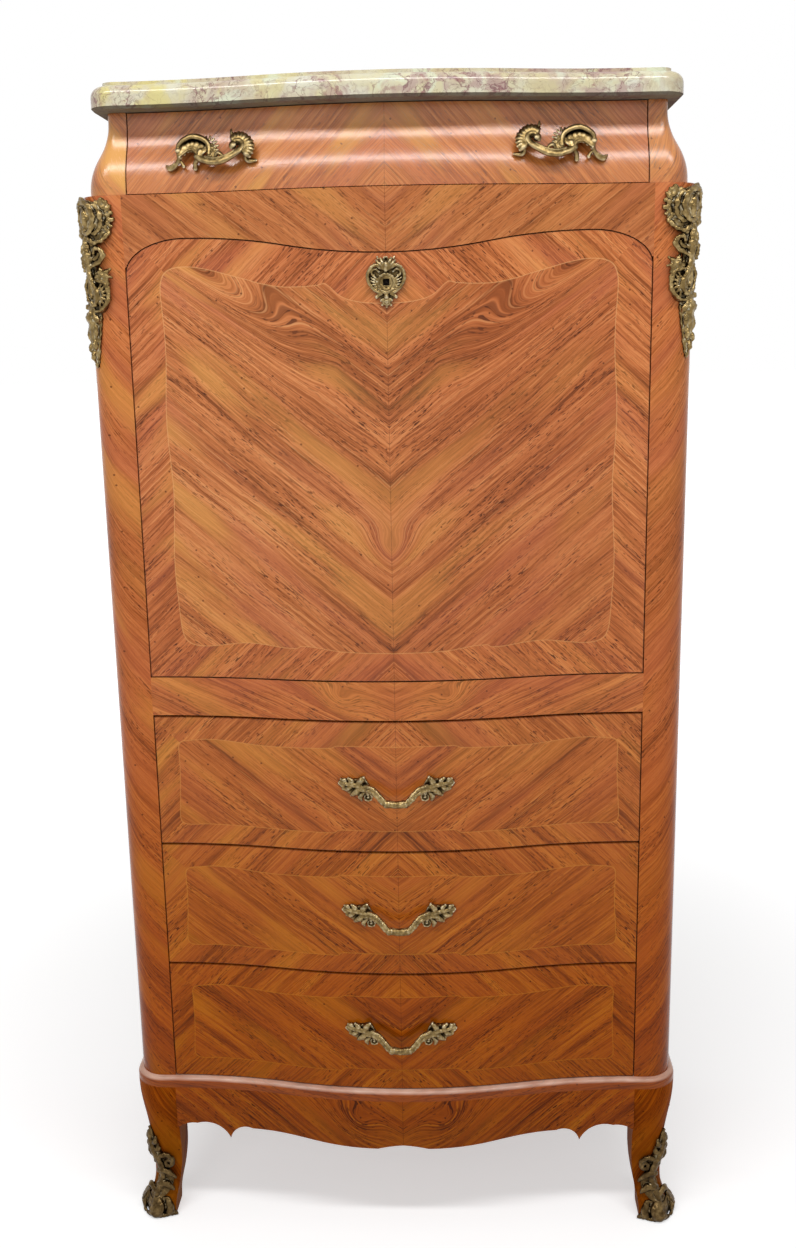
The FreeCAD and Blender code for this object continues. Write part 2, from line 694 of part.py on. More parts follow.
def fall_escutcheon(panel):
    """A scalloped plate with a beaded ring round the keyhole."""
    seat = face - BOW
    front = seat - ESCUTCHEON_THICKNESS
    half_width = ESCUTCHEON_WIDTH / 2
    half_height = ESCUTCHEON_HEIGHT / 2
    points = [Vector(x * half_width, front, keyhole_z + z * half_height) for x, z in ESCUTCHEON_SHARES]
    edges = [arc(*points[i:i + 3]) for i in range(0, len(points) - 2, 2)]
    edges += [mirrored(edge) for edge in edges]
    plate = outline_face(edges).extrude(INWARD * 2 * ESCUTCHEON_THICKNESS)
    ring_centre = Vector(0, front, keyhole_z)
    ring = Part.makeTorus(ESCUTCHEON_RING_RADIUS, ESCUTCHEON_BEAD_RADIUS, ring_centre, INWARD)
    plate = fused([plate, ring])
    return plate.cut(panel).cut(keyhole(seat - 2 * ESCUTCHEON_THICKNESS, seat + OVERRUN))


# Drawers

def drawer_front(low, high):
    return bowed_board(half_open - SEAM, 0, DRAWER_FRONT_DEPTH, low + SEAM, high)


def top_drawer_front():
    """Built up from glued blocks, as shaped fronts are: two layers that meet where the cyma turns."""
    half = half_frieze - SEAM
    outlines = []
    for level in even_shares(CYMA_LEVELS):
        z = shoulder + SEAM + level * (FRIEZE_HEIGHT - 2 * SEAM)
        setback = FRIEZE_FRONT_SETBACK + CYMA_DEPTH * cyma(level)
        outlines.append(bowed_outline(half, setback, TOP_FRONT_DEPTH, z))
    front = Part.makeLoft(outlines, True, False)
    layer_share = CYMA_START_SHARE + CYMA_TURN_SHARE * (CYMA_END_SHARE - CYMA_START_SHARE)
    levels = (shoulder, shoulder + layer_share * FRIEZE_HEIGHT, marble_low)
    right_ends = [share * half_open for share in BLOCK_END_SHARES] + [half]
    ends = [-end for end in reversed(right_ends)] + right_ends
    blocks = []
    for low, high in zip(levels, levels[1:]):
        for left, right in zip(ends, ends[1:]):
            blocks.append(front.common(box(left, right, -overall_depth, overall_depth, low, high)))
    return Part.makeCompound(blocks)


def drawer_walls(half, front, low, high):
    rear = back_inside - REAR_ROOM
    side = box(half - DRAWER_WALL, half, front, rear, low, high)
    rear_low = low + BOTTOM_RISE + DRAWER_BOTTOM
    rear_wall = box(-half + DRAWER_WALL, half - DRAWER_WALL, rear - DRAWER_WALL, rear, rear_low, high)
    return Part.makeCompound([side, mirrored(side), rear_wall])


def drawer_bottom(half, front, low):
    inner = half - DRAWER_WALL
    low = low + BOTTOM_RISE
    return box(-inner, inner, front, back_inside - REAR_ROOM, low, low + DRAWER_BOTTOM)


def leaf(side, z):
    """A pointed leaf that lies on a drawer's face, thickest near the grip."""
    root = HANDLE_WIDTH / 2 - LEAF_LENGTH
    outlines = []
    for along, width, relief in LEAF_SHARES:
        x = root + along * LEAF_LENGTH
        middle = front_point(x, LEAF_RELIEF * relief / 2, z + along * LEAF_LIFT)
        half = UP * (width * LEAF_WIDTH / 2)
        crest = front_point(x, -LEAF_RELIEF * relief, middle.z)
        low = middle - half
        high = middle + half
        outlines.append(Part.Wire([arc(low, crest, high), line(high, low)]))
    solid = Part.makeLoft(outlines, True, False)
    return solid if side > 0 else mirrored(solid)


def drawer_handle(middle_z, front):
    """Two leaves joined by a grip on goose necks, which lie in one plane that slopes forward and down."""
    reach = HANDLE_REACH - BAR_RADIUS
    slope = Vector(0, -reach, -GRIP_DROP)
    rise = slope.Length
    slope.normalize()
    root = Vector(0, face - BOW, middle_z + HANDLE_RISE)
    spread = NECK_SPREAD / 2
    run = spread - GRIP_LENGTH / 2
    sweep = 2 * math.atan(rise / run)
    radius = run / (2 * math.sin(sweep))

    def neck_point(along, down):
        return root + ACROSS * (spread - along) + slope * down

    def bend(angle):
        return radius * math.sin(angle), radius * (1 - math.cos(angle))

    half_bend = bend(sweep / 2)
    full_bend = bend(sweep)
    start = neck_point(0, 0)
    turn = neck_point(*full_bend)
    end = neck_point(run, rise)
    upper = arc(start, neck_point(*half_bend), turn)
    lower = arc(turn, neck_point(run - half_bend[0], rise - half_bend[1]), end)
    grip = line(end, Vector(-end.x, end.y, end.z))
    path = Part.Wire([upper, lower, grip, mirrored(lower), mirrored(upper)])
    section = Part.Wire(Part.makeCircle(BAR_RADIUS, start, ACROSS))
    bar = path.makePipeShell([section], True, False)
    return fused([bar, leaf(1, root.z), leaf(-1, root.z)]).cut(front)


def top_handle(front):
    """Scrolled strokes in a plane that follows the drawer's face, on three feet."""
    half_width = TOP_HANDLE_WIDTH / 2
    half_height = TOP_HANDLE_HEIGHT / 2
    middle_x = half_frieze - TOP_HANDLE_INSET
    middle_z = shoulder + TOP_HANDLE_HEIGHT_SHARE * FRIEZE_HEIGHT

    def face_setback(z):
        return FRIEZE_FRONT_SETBACK + CYMA_DEPTH * cyma((z - shoulder) / FRIEZE_HEIGHT)

    def place(share):
        return Vector(share[0] * half_width, -TOP_HANDLE_STANDOFF, share[1] * half_height)

    solids = []
    for stroke in STROKE_SHARES:
        start, middle, end = (place(share) for share in stroke)
        path = arc(start, middle, end)
        section = Part.Wire(Part.makeCircle(STROKE_RADIUS, start, path.tangentAt(path.FirstParameter)))
        solids.append(Part.Wire([path]).makePipeShell([section], True, False))
        solids += [Part.makeSphere(STROKE_RADIUS, start), Part.makeSphere(STROKE_RADIUS, end)]
    for share in FOOT_SHARES:
        solids.append(rod(STROKE_RADIUS, place(share), place(share) + INWARD * 2 * TOP_HANDLE_STANDOFF))
    handle = fused(solids)
    rise = face_setback(middle_z + half_height) - face_setback(middle_z - half_height)
    swing = bow(middle_x - half_width) - bow(middle_x + half_width)
    handle.rotate(ORIGIN, ACROSS, -math.degrees(math.atan(rise / TOP_HANDLE_HEIGHT)))
    handle.rotate(ORIGIN, UP, -math.degrees(math.atan(swing / TOP_HANDLE_WIDTH)))
    handle.translate(front_point(-middle_x, face_setback(middle_z), middle_z))
    return handle.cut(front)


# Nest

def nest_sides():
    board = box(nest_half, half_open, face + RAIL_DEPTH, back_inside, floor_top, ceiling)
    return Part.makeCompound([board, mirrored(board)])


def nest_shelves():
    return Part.makeCompound([box(-nest_half, nest_half, nest_front, back_inside, low, low + NEST_WALL)
                              for low in (low_shelf, high_shelf)])


def nest_dividers():
    inner = NICHE_WIDTH / 2
    boards = []
    for low, high in ((floor_top, low_shelf), (low_shelf + NEST_WALL, high_shelf)):
        board = box(inner, inner + NEST_WALL, nest_front, back_inside, low, high)
        boards += [board, mirrored(board)]
    return Part.makeCompound(boards)


def nest_drawer_place():
    """Inner and outer ends, low and high edges of the right-hand small drawer."""
    return NICHE_WIDTH / 2 + NEST_WALL + SEAM, nest_half - SEAM, floor_top + RUNNING_GAP, low_shelf - SEAM


def nest_drawer_front():
    inner, outer, low, high = nest_drawer_place()
    return box(inner, outer, nest_front, nest_front + NEST_FRONT_THICKNESS, low, high)


def nest_drawer_box():
    inner, outer, low, high = nest_drawer_place()
    front = nest_front + NEST_FRONT_THICKNESS
    rear = back_inside - NEST_REAR_ROOM
    wall = NEST_BOX_WALL
    base = box(inner + wall, outer - wall, front, rear - wall, low, low + wall)
    inner_side = box(inner, inner + wall, front, rear, low, high)
    outer_side = box(outer - wall, outer, front, rear, low, high)
    rear_wall = box(inner + wall, outer - wall, rear - wall, rear, low, high)
    return Part.makeCompound([base, inner_side, outer_side, rear_wall])


def nest_drawer_knob():
    inner, outer, low, high = nest_drawer_place()
    root = Vector((inner + outer) / 2, nest_front, (low + high) / 2)
    ball = root - INWARD * (KNOB_REACH - KNOB_RADIUS)
    return fused([rod(KNOB_STEM_RADIUS, root, ball), Part.makeSphere(KNOB_RADIUS, ball)])


# The parts

def carcass_parts():
    post = stile()
    leg = front_leg()
    hind_leg = rear_leg()
    apron = side_apron(leg, hind_leg)
    parts = {
        "marble_top": marble_top(), "top_board": top_board(), "back_panel": back_panel(),
        "frieze_rail": frieze_rail(), "mid_rail": mid_rail(), "frieze_shelf": frieze_shelf(),
        "interior_floor": interior_floor(), "dust_boards": dust_boards(), "drawer_guides": drawer_guides(),
        "plinth_board": plinth_board(), "apron_front": apron_front(leg), "strike_plate": strike_plate(),
        "side_aprons": Part.makeCompound([apron, mirrored(apron)]),
        "rear_legs": Part.makeCompound([hind_leg, mirrored(hind_leg)]),
        "nest_sides": nest_sides(), "nest_shelves": nest_shelves(), "nest_dividers": nest_dividers(),
    }
    pairs = {"frieze_side": frieze_side(), "stile": post, "side_panel": side_panel(), "front_leg": leg,
             "sabot": sabot(leg), "chute": chute(post)}
    for name, shape in pairs.items():
        parts[name + "_right"] = shape
        parts[name + "_left"] = mirrored(shape)
    return parts


def fall_parts():
    panel = fall_panel()
    return {"fall_panel": panel, "fall_leather": leather_block(), "fall_pivots": fall_pivots(),
            "fall_lock_case": fall_lock_case(), "fall_escutcheon": fall_escutcheon(panel),
            "lock_bolt": lock_bolt()}


def drawer_parts():
    parts = {}
    rows = ((1, drawer_1_low, DRAWER_1_HEIGHT, FIRST_SEAM), (2, drawer_2_low, DRAWER_2_HEIGHT, SEAM),
            (3, plinth_top, DRAWER_3_HEIGHT, SEAM))
    half = half_open - BOX_INSET
    back_of_front = face + DRAWER_FRONT_DEPTH
    for number, low, height, upper_seam in rows:
        name = f"drawer_{number}_"
        front = drawer_front(low, low + height - upper_seam)
        box_low = low + RUNNING_GAP
        box_high = low + height - BOARD_THICKNESS - HEAD_ROOM
        parts[name + "front"] = front
        parts[name + "walls"] = drawer_walls(half, back_of_front, box_low, box_high)
        parts[name + "bottom"] = drawer_bottom(half, back_of_front, box_low)
        parts[name + "handle"] = drawer_handle(low + height / 2, front)
    half = half_frieze - SEAM
    front = top_drawer_front()
    handle = top_handle(front)
    back_of_front = face + TOP_FRONT_DEPTH
    box_low = shoulder + RUNNING_GAP
    box_high = marble_low - BOARD_THICKNESS - HEAD_ROOM
    parts["top_drawer_front"] = front
    parts["top_drawer_walls"] = drawer_walls(half, back_of_front, box_low, box_high)
    parts["top_drawer_bottom"] = drawer_bottom(half, back_of_front, box_low)
    parts["top_drawer_handles"] = Part.makeCompound([handle, mirrored(handle)])
    return parts


def nest_drawer_parts():
    pieces = {"front": nest_drawer_front(), "box": nest_drawer_box(), "knob": nest_drawer_knob()}
    parts = {}
    for piece, shape in pieces.items():
        parts["nest_drawer_right_" + piece] = shape
        parts["nest_drawer_left_" + piece] = mirrored(shape)
    return parts


os.makedirs("parts", exist_ok=True)
for node, shape in {**carcass_parts(), **fall_parts(), **drawer_parts(), **nest_drawer_parts()}.items():
    shape.exportStep(f"parts/{node}.step")
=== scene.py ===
import math

import bmesh
import bpy
from mathutils import Matrix, Vector, noise


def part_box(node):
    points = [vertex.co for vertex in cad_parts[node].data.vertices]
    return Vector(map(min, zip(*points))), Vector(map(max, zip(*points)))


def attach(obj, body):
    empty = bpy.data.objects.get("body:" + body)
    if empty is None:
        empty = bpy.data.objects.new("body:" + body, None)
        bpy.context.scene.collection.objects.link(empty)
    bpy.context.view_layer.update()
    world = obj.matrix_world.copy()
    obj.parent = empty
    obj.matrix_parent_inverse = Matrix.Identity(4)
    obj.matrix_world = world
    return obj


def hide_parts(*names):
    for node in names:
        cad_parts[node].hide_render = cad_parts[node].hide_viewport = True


# A drop-front writing cabinet: polished veneer, a marble slab and gilt bronze mounts.
# Places are metres in the frame of the solids; grain and figure are written in millimetres.

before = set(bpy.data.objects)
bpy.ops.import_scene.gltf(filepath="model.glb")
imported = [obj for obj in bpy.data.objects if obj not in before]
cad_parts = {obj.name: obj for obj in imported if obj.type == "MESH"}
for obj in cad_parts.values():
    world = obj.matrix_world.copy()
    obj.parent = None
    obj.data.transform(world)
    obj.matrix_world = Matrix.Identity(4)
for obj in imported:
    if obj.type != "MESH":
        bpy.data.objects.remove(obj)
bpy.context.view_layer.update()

MM = 0.001

# Camera, fitted to the seams and edges of the front
CAMERA_PLACE = Vector((0.0673, -1.6675, 1.1632))
CAMERA_PITCH = 12.81  # degrees below the horizon
CAMERA_YAW = -2.36
CAMERA_ROLL = -1.104
CAMERA_LENS = 37.47
CAMERA_SENSOR = 36.0

# Places taken from the solids
stile_low, stile_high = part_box("stile_right")
HALF_OPEN = stile_low.x / MM
HALF_BODY = stile_high.x / MM
FACE = stile_low.y / MM
SHOULDER = stile_high.z / MM
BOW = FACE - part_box("drawer_1_front")[0].y / MM


def srgb(red, green, blue):
    """A colour given in 0 to 255, as the linear values that shaders take."""
    def linear(level):
        share = level / 255
        return share / 12.92 if share <= 0.04045 else ((share + 0.055) / 1.055) ** 2.4
    return (linear(red), linear(green), linear(blue), 1.0)


# Colours
VENEER_STOPS = ((0.0, srgb(112, 58, 24)), (0.3, srgb(158, 89, 46)), (0.5, srgb(187, 111, 64)),
                (0.68, srgb(204, 129, 80)), (1.0, srgb(222, 156, 100)))
VENEER_GOLD = srgb(216, 154, 82)
VENEER_ROSE = srgb(190, 108, 82)
VENEER_PALE = srgb(222, 160, 108)
# Pale colour of the painted highlight on the plinth's top
VENEER_PAINTED_HIGHLIGHT = srgb(238, 204, 184)
VENEER_DARK = srgb(92, 46, 22)
# Colour of the painted shade along the edges that line the seams
SEAM_SHADE = srgb(48, 22, 16)
STRINGING = srgb(222, 166, 112)
VENEER = (VENEER_STOPS, VENEER_DARK, VENEER_PALE)
# Tones that a leaf is multiplied by: redder on the frame, and on the fall paler to the left
RED_TONE = (0.98, 0.89, 0.82, 1.0)
FRIEZE_TONE = (0.94, 0.94, 0.76, 1.0)
RAIL_TONE = (0.87, 0.86, 0.8, 1.0)
LEAF_TONES = ((0.0, (0.9, 0.79, 0.74, 1.0)), (1.0, (1.0, 1.0, 1.0, 1.0)))
BORDER_TONES = ((0.0, (1.0, 0.92, 0.84, 1.0)), (1.0, (0.94, 0.84, 0.82, 1.0)))
# Painted shade by height, as shares of full colour: deep near the floor, where less light reaches, clear
# from the fall upwards
FALLOFF_SHADE_STOPS = ((0.0, (0.34, 0.25, 0.03, 1.0)), (0.07, (0.42, 0.3, 0.03, 1.0)),
              (0.13, (0.56, 0.37, 0.03, 1.0)), (0.2, (0.66, 0.42, 0.05, 1.0)),
              (0.31, (0.76, 0.56, 0.14, 1.0)), (0.43, (0.85, 0.68, 0.36, 1.0)),
              (0.53, (0.95, 0.86, 0.66, 1.0)), (0.66, (1.0, 0.98, 0.9, 1.0)))
FALLOFF_SHADE_HEIGHT = 1450.0
OAK_STOPS = ((0.0, srgb(104, 70, 38)), (0.35, srgb(146, 104, 62)), (0.6, srgb(172, 130, 82)),
             (1.0, srgb(196, 156, 104)))
OAK_DARK = srgb(70, 44, 22)
OAK_PALE = srgb(206, 170, 118)
OAK = (OAK_STOPS, OAK_DARK, OAK_PALE)
SEAM_HALF = 0.35  # half the width of a glue line, in millimetres
SEAM_SHADE_REACH = 1.2 * MM  # how far the painted shade spreads from an edge
HOLLOW_REACH = 6.0 * MM  # and how wide a hollow in the gilding may be


class Shader:
    """A material being made: adds nodes, sets their values and links them."""

    def __init__(self, name, world=False):
        self.owner = (bpy.data.worlds if world else bpy.data.materials).new(name)
        self.owner.use_nodes = True
        self.tree = self.owner.node_tree
        self.tree.nodes.clear()
        self.surface = None

    def put(self, socket, value):
        if isinstance(value, bpy.types.NodeSocket):
            self.tree.links.new(value, socket)
        else:
            socket.default_value = value

    def node(self, kind, inputs=(), **settings):
        made = self.tree.nodes.new(kind)
        for key, value in settings.items():
            setattr(made, key, value)
        for key, value in dict(inputs).items():
            self.put(made.inputs[key], value)
        return made

    def math(self, operation, *values, clamp=False):
        return self.node("ShaderNodeMath", enumerate(values), operation=operation,
                         use_clamp=clamp).outputs[0]

    def add(self, *values):
        total = values[0]
        for value in values[1:]:
            total = self.math("ADD", total, value)
        return total

    def times(self, first, second):
        return self.math("MULTIPLY", first, second)

    def less(self, first, second):
        return self.math("SUBTRACT", first, second)

    def size(self, value):
        return self.math("ABSOLUTE", value)

    def lift(self, value, factor, plus):
        """A value times a factor, plus a number."""
        return self.math("MULTIPLY_ADD", value, factor, plus)

    def weighed(self, *terms):
        """The sum of value times weight over (value, weight) pairs."""
        total = self.times(*terms[0])
        for value, weight in terms[1:]:
            total = self.lift(value, weight, total)
        return total

    def step(self, value, low, high, smooth=True):
        """0 under low, 1 over high and a ramp between them."""
        kind = "SMOOTHSTEP" if smooth else "LINEAR"
        inputs = {"Value": value, "From Min": low, "From Max": high}
        return self.node("ShaderNodeMapRange", inputs, interpolation_type=kind).outputs[0]

    def vector(self, x, y, z):
        return self.node("ShaderNodeCombineXYZ", enumerate((x, y, z))).outputs[0]

    def noise(self, vector, scale=1.0, detail=2.0, roughness=0.5, shift=0.0):
        """Noise; a shift gives another pattern of the same kind."""
        if shift:
            inputs = {0: vector, 1: (shift, shift * 0.7, shift * 1.3)}
            vector = self.node("ShaderNodeVectorMath", inputs, operation="ADD").outputs[0]
        inputs = {"Vector": vector, "Scale": scale, "Detail": detail, "Roughness": roughness}
        return self.node("ShaderNodeTexNoise", inputs).outputs[0]

    def grain(self, along, across, seed, length, width, detail=2.0, roughness=0.5):
        """Noise drawn out along the grain: about length by width millimetres to each feature."""
        place = self.vector(self.math("DIVIDE", along, length), self.math("DIVIDE", across, width), seed)
        return self.noise(place, detail=detail, roughness=roughness)

    def choose(self, share, first, second):
        """The first number where share is 0, the second where it is 1."""
        return self.node("ShaderNodeMix", {0: share, 2: first, 3: second}).outputs[0]

    def mix(self, share, first, second, blend="MIX"):
        """A colour between two."""
        made = self.node("ShaderNodeMix", {0: share, 6: first, 7: second}, data_type="RGBA",
                         blend_type=blend)
        return made.outputs[2]

    def tint(self, colour, tone, share, weight):
        """A colour moved towards a tone by a share times a weight."""
        return self.mix(self.times(share, weight), colour, tone)

    def multiplied(self, colour, tone):
        return self.mix(1.0, colour, tone, blend="MULTIPLY")

    def ramp(self, value, stops):
        made = self.node("ShaderNodeValToRGB", {"Fac": value})
        elements = made.color_ramp.elements
        for _ in stops[2:]:
            elements.new(0.5)
        for element, (position, colour) in zip(elements, stops):
            element.position = position
            element.color = colour
        return made.outputs[0]

    def curve(self, value, points, low, high):
        """A drawn curve through (place, height) points, both in the caller's units."""
        first, last = points[0][0], points[-1][0]
        share = self.step(value, first, last, smooth=False)
        made = self.node("ShaderNodeFloatCurve", {"Value": share})
        drawn = made.mapping.curves[0]
        for _ in points[2:]:
            drawn.points.new(0.5, 0.5)
        for point, (place, height) in zip(drawn.points, points):
            point.location = ((place - first) / (last - first), (height - low) / (high - low))
            point.handle_type = "AUTO_CLAMPED"
        made.mapping.update()
        return self.lift(made.outputs[0], high - low, low)

    def places(self):
        """Object coordinates in millimetres: across, front to back and up."""
        source = self.node("ShaderNodeTexCoord").outputs["Object"]
        split = self.node("ShaderNodeSeparateXYZ", {0: source}).outputs
        return [self.times(part, 1 / MM) for part in split]

    def facing_up(self):
        """1 where the surface faces up, -1 where it faces down."""
        source = self.node("ShaderNodeTexCoord").outputs["Normal"]
        return self.node("ShaderNodeSeparateXYZ", {0: source}).outputs[2]

    def bump(self, height, depth, strength):
        """A bump of a depth in millimetres."""
        inputs = {"Height": height, "Distance": depth * MM, "Strength": strength}
        return self.node("ShaderNodeBump", inputs).outputs[0]

    def principled(self, inputs):
        self.surface = self.node("ShaderNodeBsdfPrincipled", inputs).outputs[0]
        return self.done()

    def done(self):
        self.node("ShaderNodeOutputMaterial", {"Surface": self.surface})
        return self.owner


# Wood

def leaf_axes(shader, x, z, angle):
    """Places along and across a leaf whose grain climbs by an angle, in degrees, as x grows."""
    turn = math.radians(angle)
    along = shader.weighed((x, math.cos(turn)), (z, math.sin(turn)))
    across = shader.weighed((x, -math.sin(turn)), (z, math.cos(turn)))
    return along, across


def eye(shader, along, across, centre, angle, length, width, height, open_end=0):
    """Bends the growth lines round a knot, or round a cathedral where one end is open."""
    turn = math.radians(angle)
    middle_along = centre[0] * math.cos(turn) + centre[1] * math.sin(turn)
    middle_across = -centre[0] * math.sin(turn) + centre[1] * math.cos(turn)
    run = shader.less(along, middle_along)
    side = shader.math("DIVIDE", shader.less(across, middle_across), width)
    fall_off = shader.times(side, side)
    if open_end:
        ends = shader.step(run, 0.0, open_end * length, smooth=False)
    else:
        share = shader.math("DIVIDE", run, length)
        fall_off = shader.lift(share, share, fall_off)
        ends = 1.0
    bell = shader.math("EXPONENT", shader.times(fall_off, -1.0))
    return shader.lift(shader.times(bell, height), ends, across)


def wavy(shader, along, across, seed):
    """The slow wander of real grain, and its small quick tremble."""
    slow = shader.grain(along, across, seed, 190, 70, detail=1)
    quick = shader.grain(along, across, seed, 46, 15, detail=2)
    return shader.add(across, shader.weighed((slow, 11.0), (quick, 4.0)))


def wood(shader, along, across, seed, kind, contrast=1.0):
    """Colour and height of a wood from places along and across its grain."""
    stops, dark, pale = kind

    def layer(shift, length, width, detail=1, roughness=0.5):
        return shader.grain(along, across, shader.add(seed, shift), length, width, detail, roughness)

    broad = layer(0.0, 300, 36)
    band = layer(7.3, 240, 9.0, detail=2)
    streak = layer(13.7, 130, 2.6, detail=3, roughness=0.65)
    fibre = layer(19.1, 32, 1.1, detail=2, roughness=0.6)
    parts = ((broad, 0.45), (band, 0.6), (streak, 1.0), (fibre, 0.6))
    value = shader.weighed(*[(part, weight * contrast) for part, weight in parts])
    middle = sum(weight for _, weight in parts) * contrast / 2
    colour = shader.ramp(shader.add(value, 0.5 - middle), stops)
    bright = shader.step(layer(61.1, 110, 1.7), 0.6, 0.74)
    colour = shader.tint(colour, pale, bright, 0.4 * contrast)
    gathered = shader.step(layer(53.7, 120, 26), 0.36, 0.62)
    line = shader.step(layer(31.9, 95, 1.9), 0.58, 0.72)
    tick = shader.step(layer(41.3, 9, 1.3), 0.6, 0.67)
    marks = shader.weighed((line, 0.55 * contrast), (tick, 0.72 * contrast))
    colour = shader.mix(shader.times(marks, shader.lift(gathered, 0.75, 0.25)), colour, dark)
    height = shader.weighed((fibre, 0.35), (streak, 0.4), (tick, -0.9), (line, -0.3))
    return colour, height


def specks(shader, x, y, z, colour):
    """Small dark holes and inclusions, scattered."""
    place = shader.vector(shader.lift(y, 0.7, x), z, 0.0)
    cells = shader.node("ShaderNodeTexVoronoi", {"Vector": place, "Scale": 1 / 30.0},
                        voronoi_dimensions="2D")
    spot = shader.step(cells.outputs["Distance"], 0.05, 0.025)
    rank = shader.node("ShaderNodeSeparateColor", {0: cells.outputs["Color"]}).outputs[0]
    chosen = shader.times(spot, shader.math("GREATER_THAN", rank, 0.7))
    return shader.tint(colour, VENEER_DARK, chosen, 0.8)


def tinted(shader, x, along, across, seed, colour, golden=0.55):
    """Uneven fading along the grain: golden patches, more of them to the left, and rosy ones."""
    blush = shader.step(shader.grain(along, across, shader.add(seed, 83.3), 200, 40, detail=1), 0.48, 0.66)
    colour = shader.tint(colour, VENEER_ROSE, blush, 0.32)
    patch = shader.step(shader.grain(along, across, shader.add(seed, 71.9), 230, 46, detail=2), 0.5, 0.68)
    lean = shader.step(x, 300.0, -300.0, smooth=False)
    share = shader.times(patch, shader.lift(lean, 0.75, 0.25))
    return shader.tint(colour, VENEER_GOLD, share, golden)


def painted_falloff_shade(shader, z, colour):
    """Painted shade: deeper and browner towards the floor, where less light reaches."""
    tone = shader.ramp(shader.math("DIVIDE", z, FALLOFF_SHADE_HEIGHT), FALLOFF_SHADE_STOPS)
    return shader.multiplied(colour, tone)


def painted_seam_shade(shader, colour):
    """Painted shade along the sharp edges, which line the seams."""
    nearness = {"Distance": SEAM_SHADE_REACH}
    wear_and_painted_light = shader.node("ShaderNodeAmbientOcclusion", nearness, samples=6, inside=True, only_local=True)
    share = shader.step(wear_and_painted_light.outputs["AO"], 0.92, 0.55)
    return shader.tint(colour, SEAM_SHADE, share, 0.75)


def polished(shader, colour, height, gloss, roughness=0.17):
    """The french polish over a veneer."""
    rough = shader.lift(height, -0.06, roughness + 0.03)
    return shader.principled({"Base Color": colour, "Roughness": rough, "Specular IOR Level": gloss,
                              "Normal": shader.bump(height, 0.06, 0.35)})


def plain_veneer(name, angle, seed, mirror=True, seam=True, eyes=(), golden=0.5, edges=False, wear_and_painted_light=False,
                 wrapped=False, gloss=0.2, roughness=0.17, contrast=1.0, tone=RED_TONE):
    """One leaf, or two that meet in the middle; a wrapped one runs on round the corner."""
    shader = Shader(name)
    x, y, z = shader.places()
    side = shader.size(x) if mirror else x
    if wrapped:
        side = shader.add(side, y)
    along, across = leaf_axes(shader, side, z, angle)
    for knot in eyes:
        across = eye(shader, along, across, angle=angle, **knot)
    across = wavy(shader, along, across, seed)
    colour, height = wood(shader, along, across, float(seed), VENEER, contrast)
    colour = tinted(shader, x, along, across, float(seed), colour, golden)
    colour = shader.multiplied(colour, tone)
    colour = specks(shader, x, y, z, colour)
    if mirror and seam:
        joint = shader.math("LESS_THAN", side, SEAM_HALF)
        colour = shader.tint(colour, VENEER_DARK, joint, 0.5)
    # Painted shade, darker towards the floor
    colour = painted_falloff_shade(shader, z, colour)
    # Painted highlight: a pale band on faces that look up, as on the plinth's rounded top, where the
    # overhead lamp is reflected
    if wear_and_painted_light:
        upper = shader.step(shader.facing_up(), 0.3, 0.7)
        colour = shader.tint(colour, VENEER_PAINTED_HIGHLIGHT, upper, shader.grain(x, z, seed, 40, 9, detail=2))
    # Painted shade along the sharp edges that line the seams
    if edges:
        colour = painted_seam_shade(shader, colour)
    return polished(shader, colour, height, gloss, roughness)


RIPPLE = 1.8  # waves of a panel's upright sides
RIPPLE_LENGTH = 170.0


def panel_veneer(name, seed, half_width, top, bottom, inner_angle, border_angle, soft=30.0, eyes=(),
                 golden=0.6, leaning=False, gloss=0.2, contrast=1.0):
    """A matched panel inside a crossbanded border, with a pale line between them.

    top and bottom are (place, height) points of the panel's edges, from the middle outwards."""
    shader = Shader(name)
    x, y, z = shader.places()
    side = shader.size(x)
    heights = [height for _, height in top + bottom]
    low, high = min(heights) - 10.0, max(heights) + 10.0
    from_top = shader.less(shader.curve(side, top, low, high), z)
    from_bottom = shader.less(z, shader.curve(side, bottom, low, high))
    ripple = shader.math("SINE", shader.times(z, 2 * math.pi / RIPPLE_LENGTH))
    from_side = shader.less(shader.lift(ripple, RIPPLE, half_width), side)
    from_ends = shader.math("SMOOTH_MIN", from_top, from_bottom, soft)
    inset = shader.math("SMOOTH_MIN", from_ends, from_side, soft)
    inside = shader.math("GREATER_THAN", inset, 0.0)
    upright = shader.math("LESS_THAN", from_side, shader.math("MINIMUM", from_top, from_bottom))
    inner_along, inner_across = leaf_axes(shader, side, z, inner_angle)
    for knot in eyes:
        inner_across = eye(shader, inner_along, inner_across, angle=inner_angle, **knot)
    border_along, border_across = leaf_axes(shader, side, z, border_angle)
    along = shader.choose(inside, border_along, inner_along)
    across = shader.choose(inside, border_across, inner_across)
    piece = shader.lift(upright, 5.0, float(seed + 3))
    leaf_seed = shader.choose(inside, piece, float(seed))
    across = wavy(shader, along, across, leaf_seed)
    colour, height = wood(shader, along, across, leaf_seed, VENEER, contrast)
    colour = tinted(shader, x, along, across, leaf_seed, colour, golden)
    if leaning:
        lean = shader.step(x, 160.0, -120.0)
        tone = shader.mix(inside, shader.ramp(lean, BORDER_TONES), shader.ramp(lean, LEAF_TONES))
        colour = shader.multiplied(colour, tone)
    colour = specks(shader, x, y, z, colour)
    joint = shader.math("LESS_THAN", side, SEAM_HALF)
    colour = shader.tint(colour, VENEER_DARK, joint, 0.45)
    line = shader.step(shader.size(inset), 0.75, 0.25)
    colour = shader.tint(colour, STRINGING, line, 0.48)
    # Painted shade towards the floor, and painted shade along the edges that line the seams
    colour = painted_seam_shade(shader, painted_falloff_shade(shader, z, colour))
    return polished(shader, colour, height, gloss)


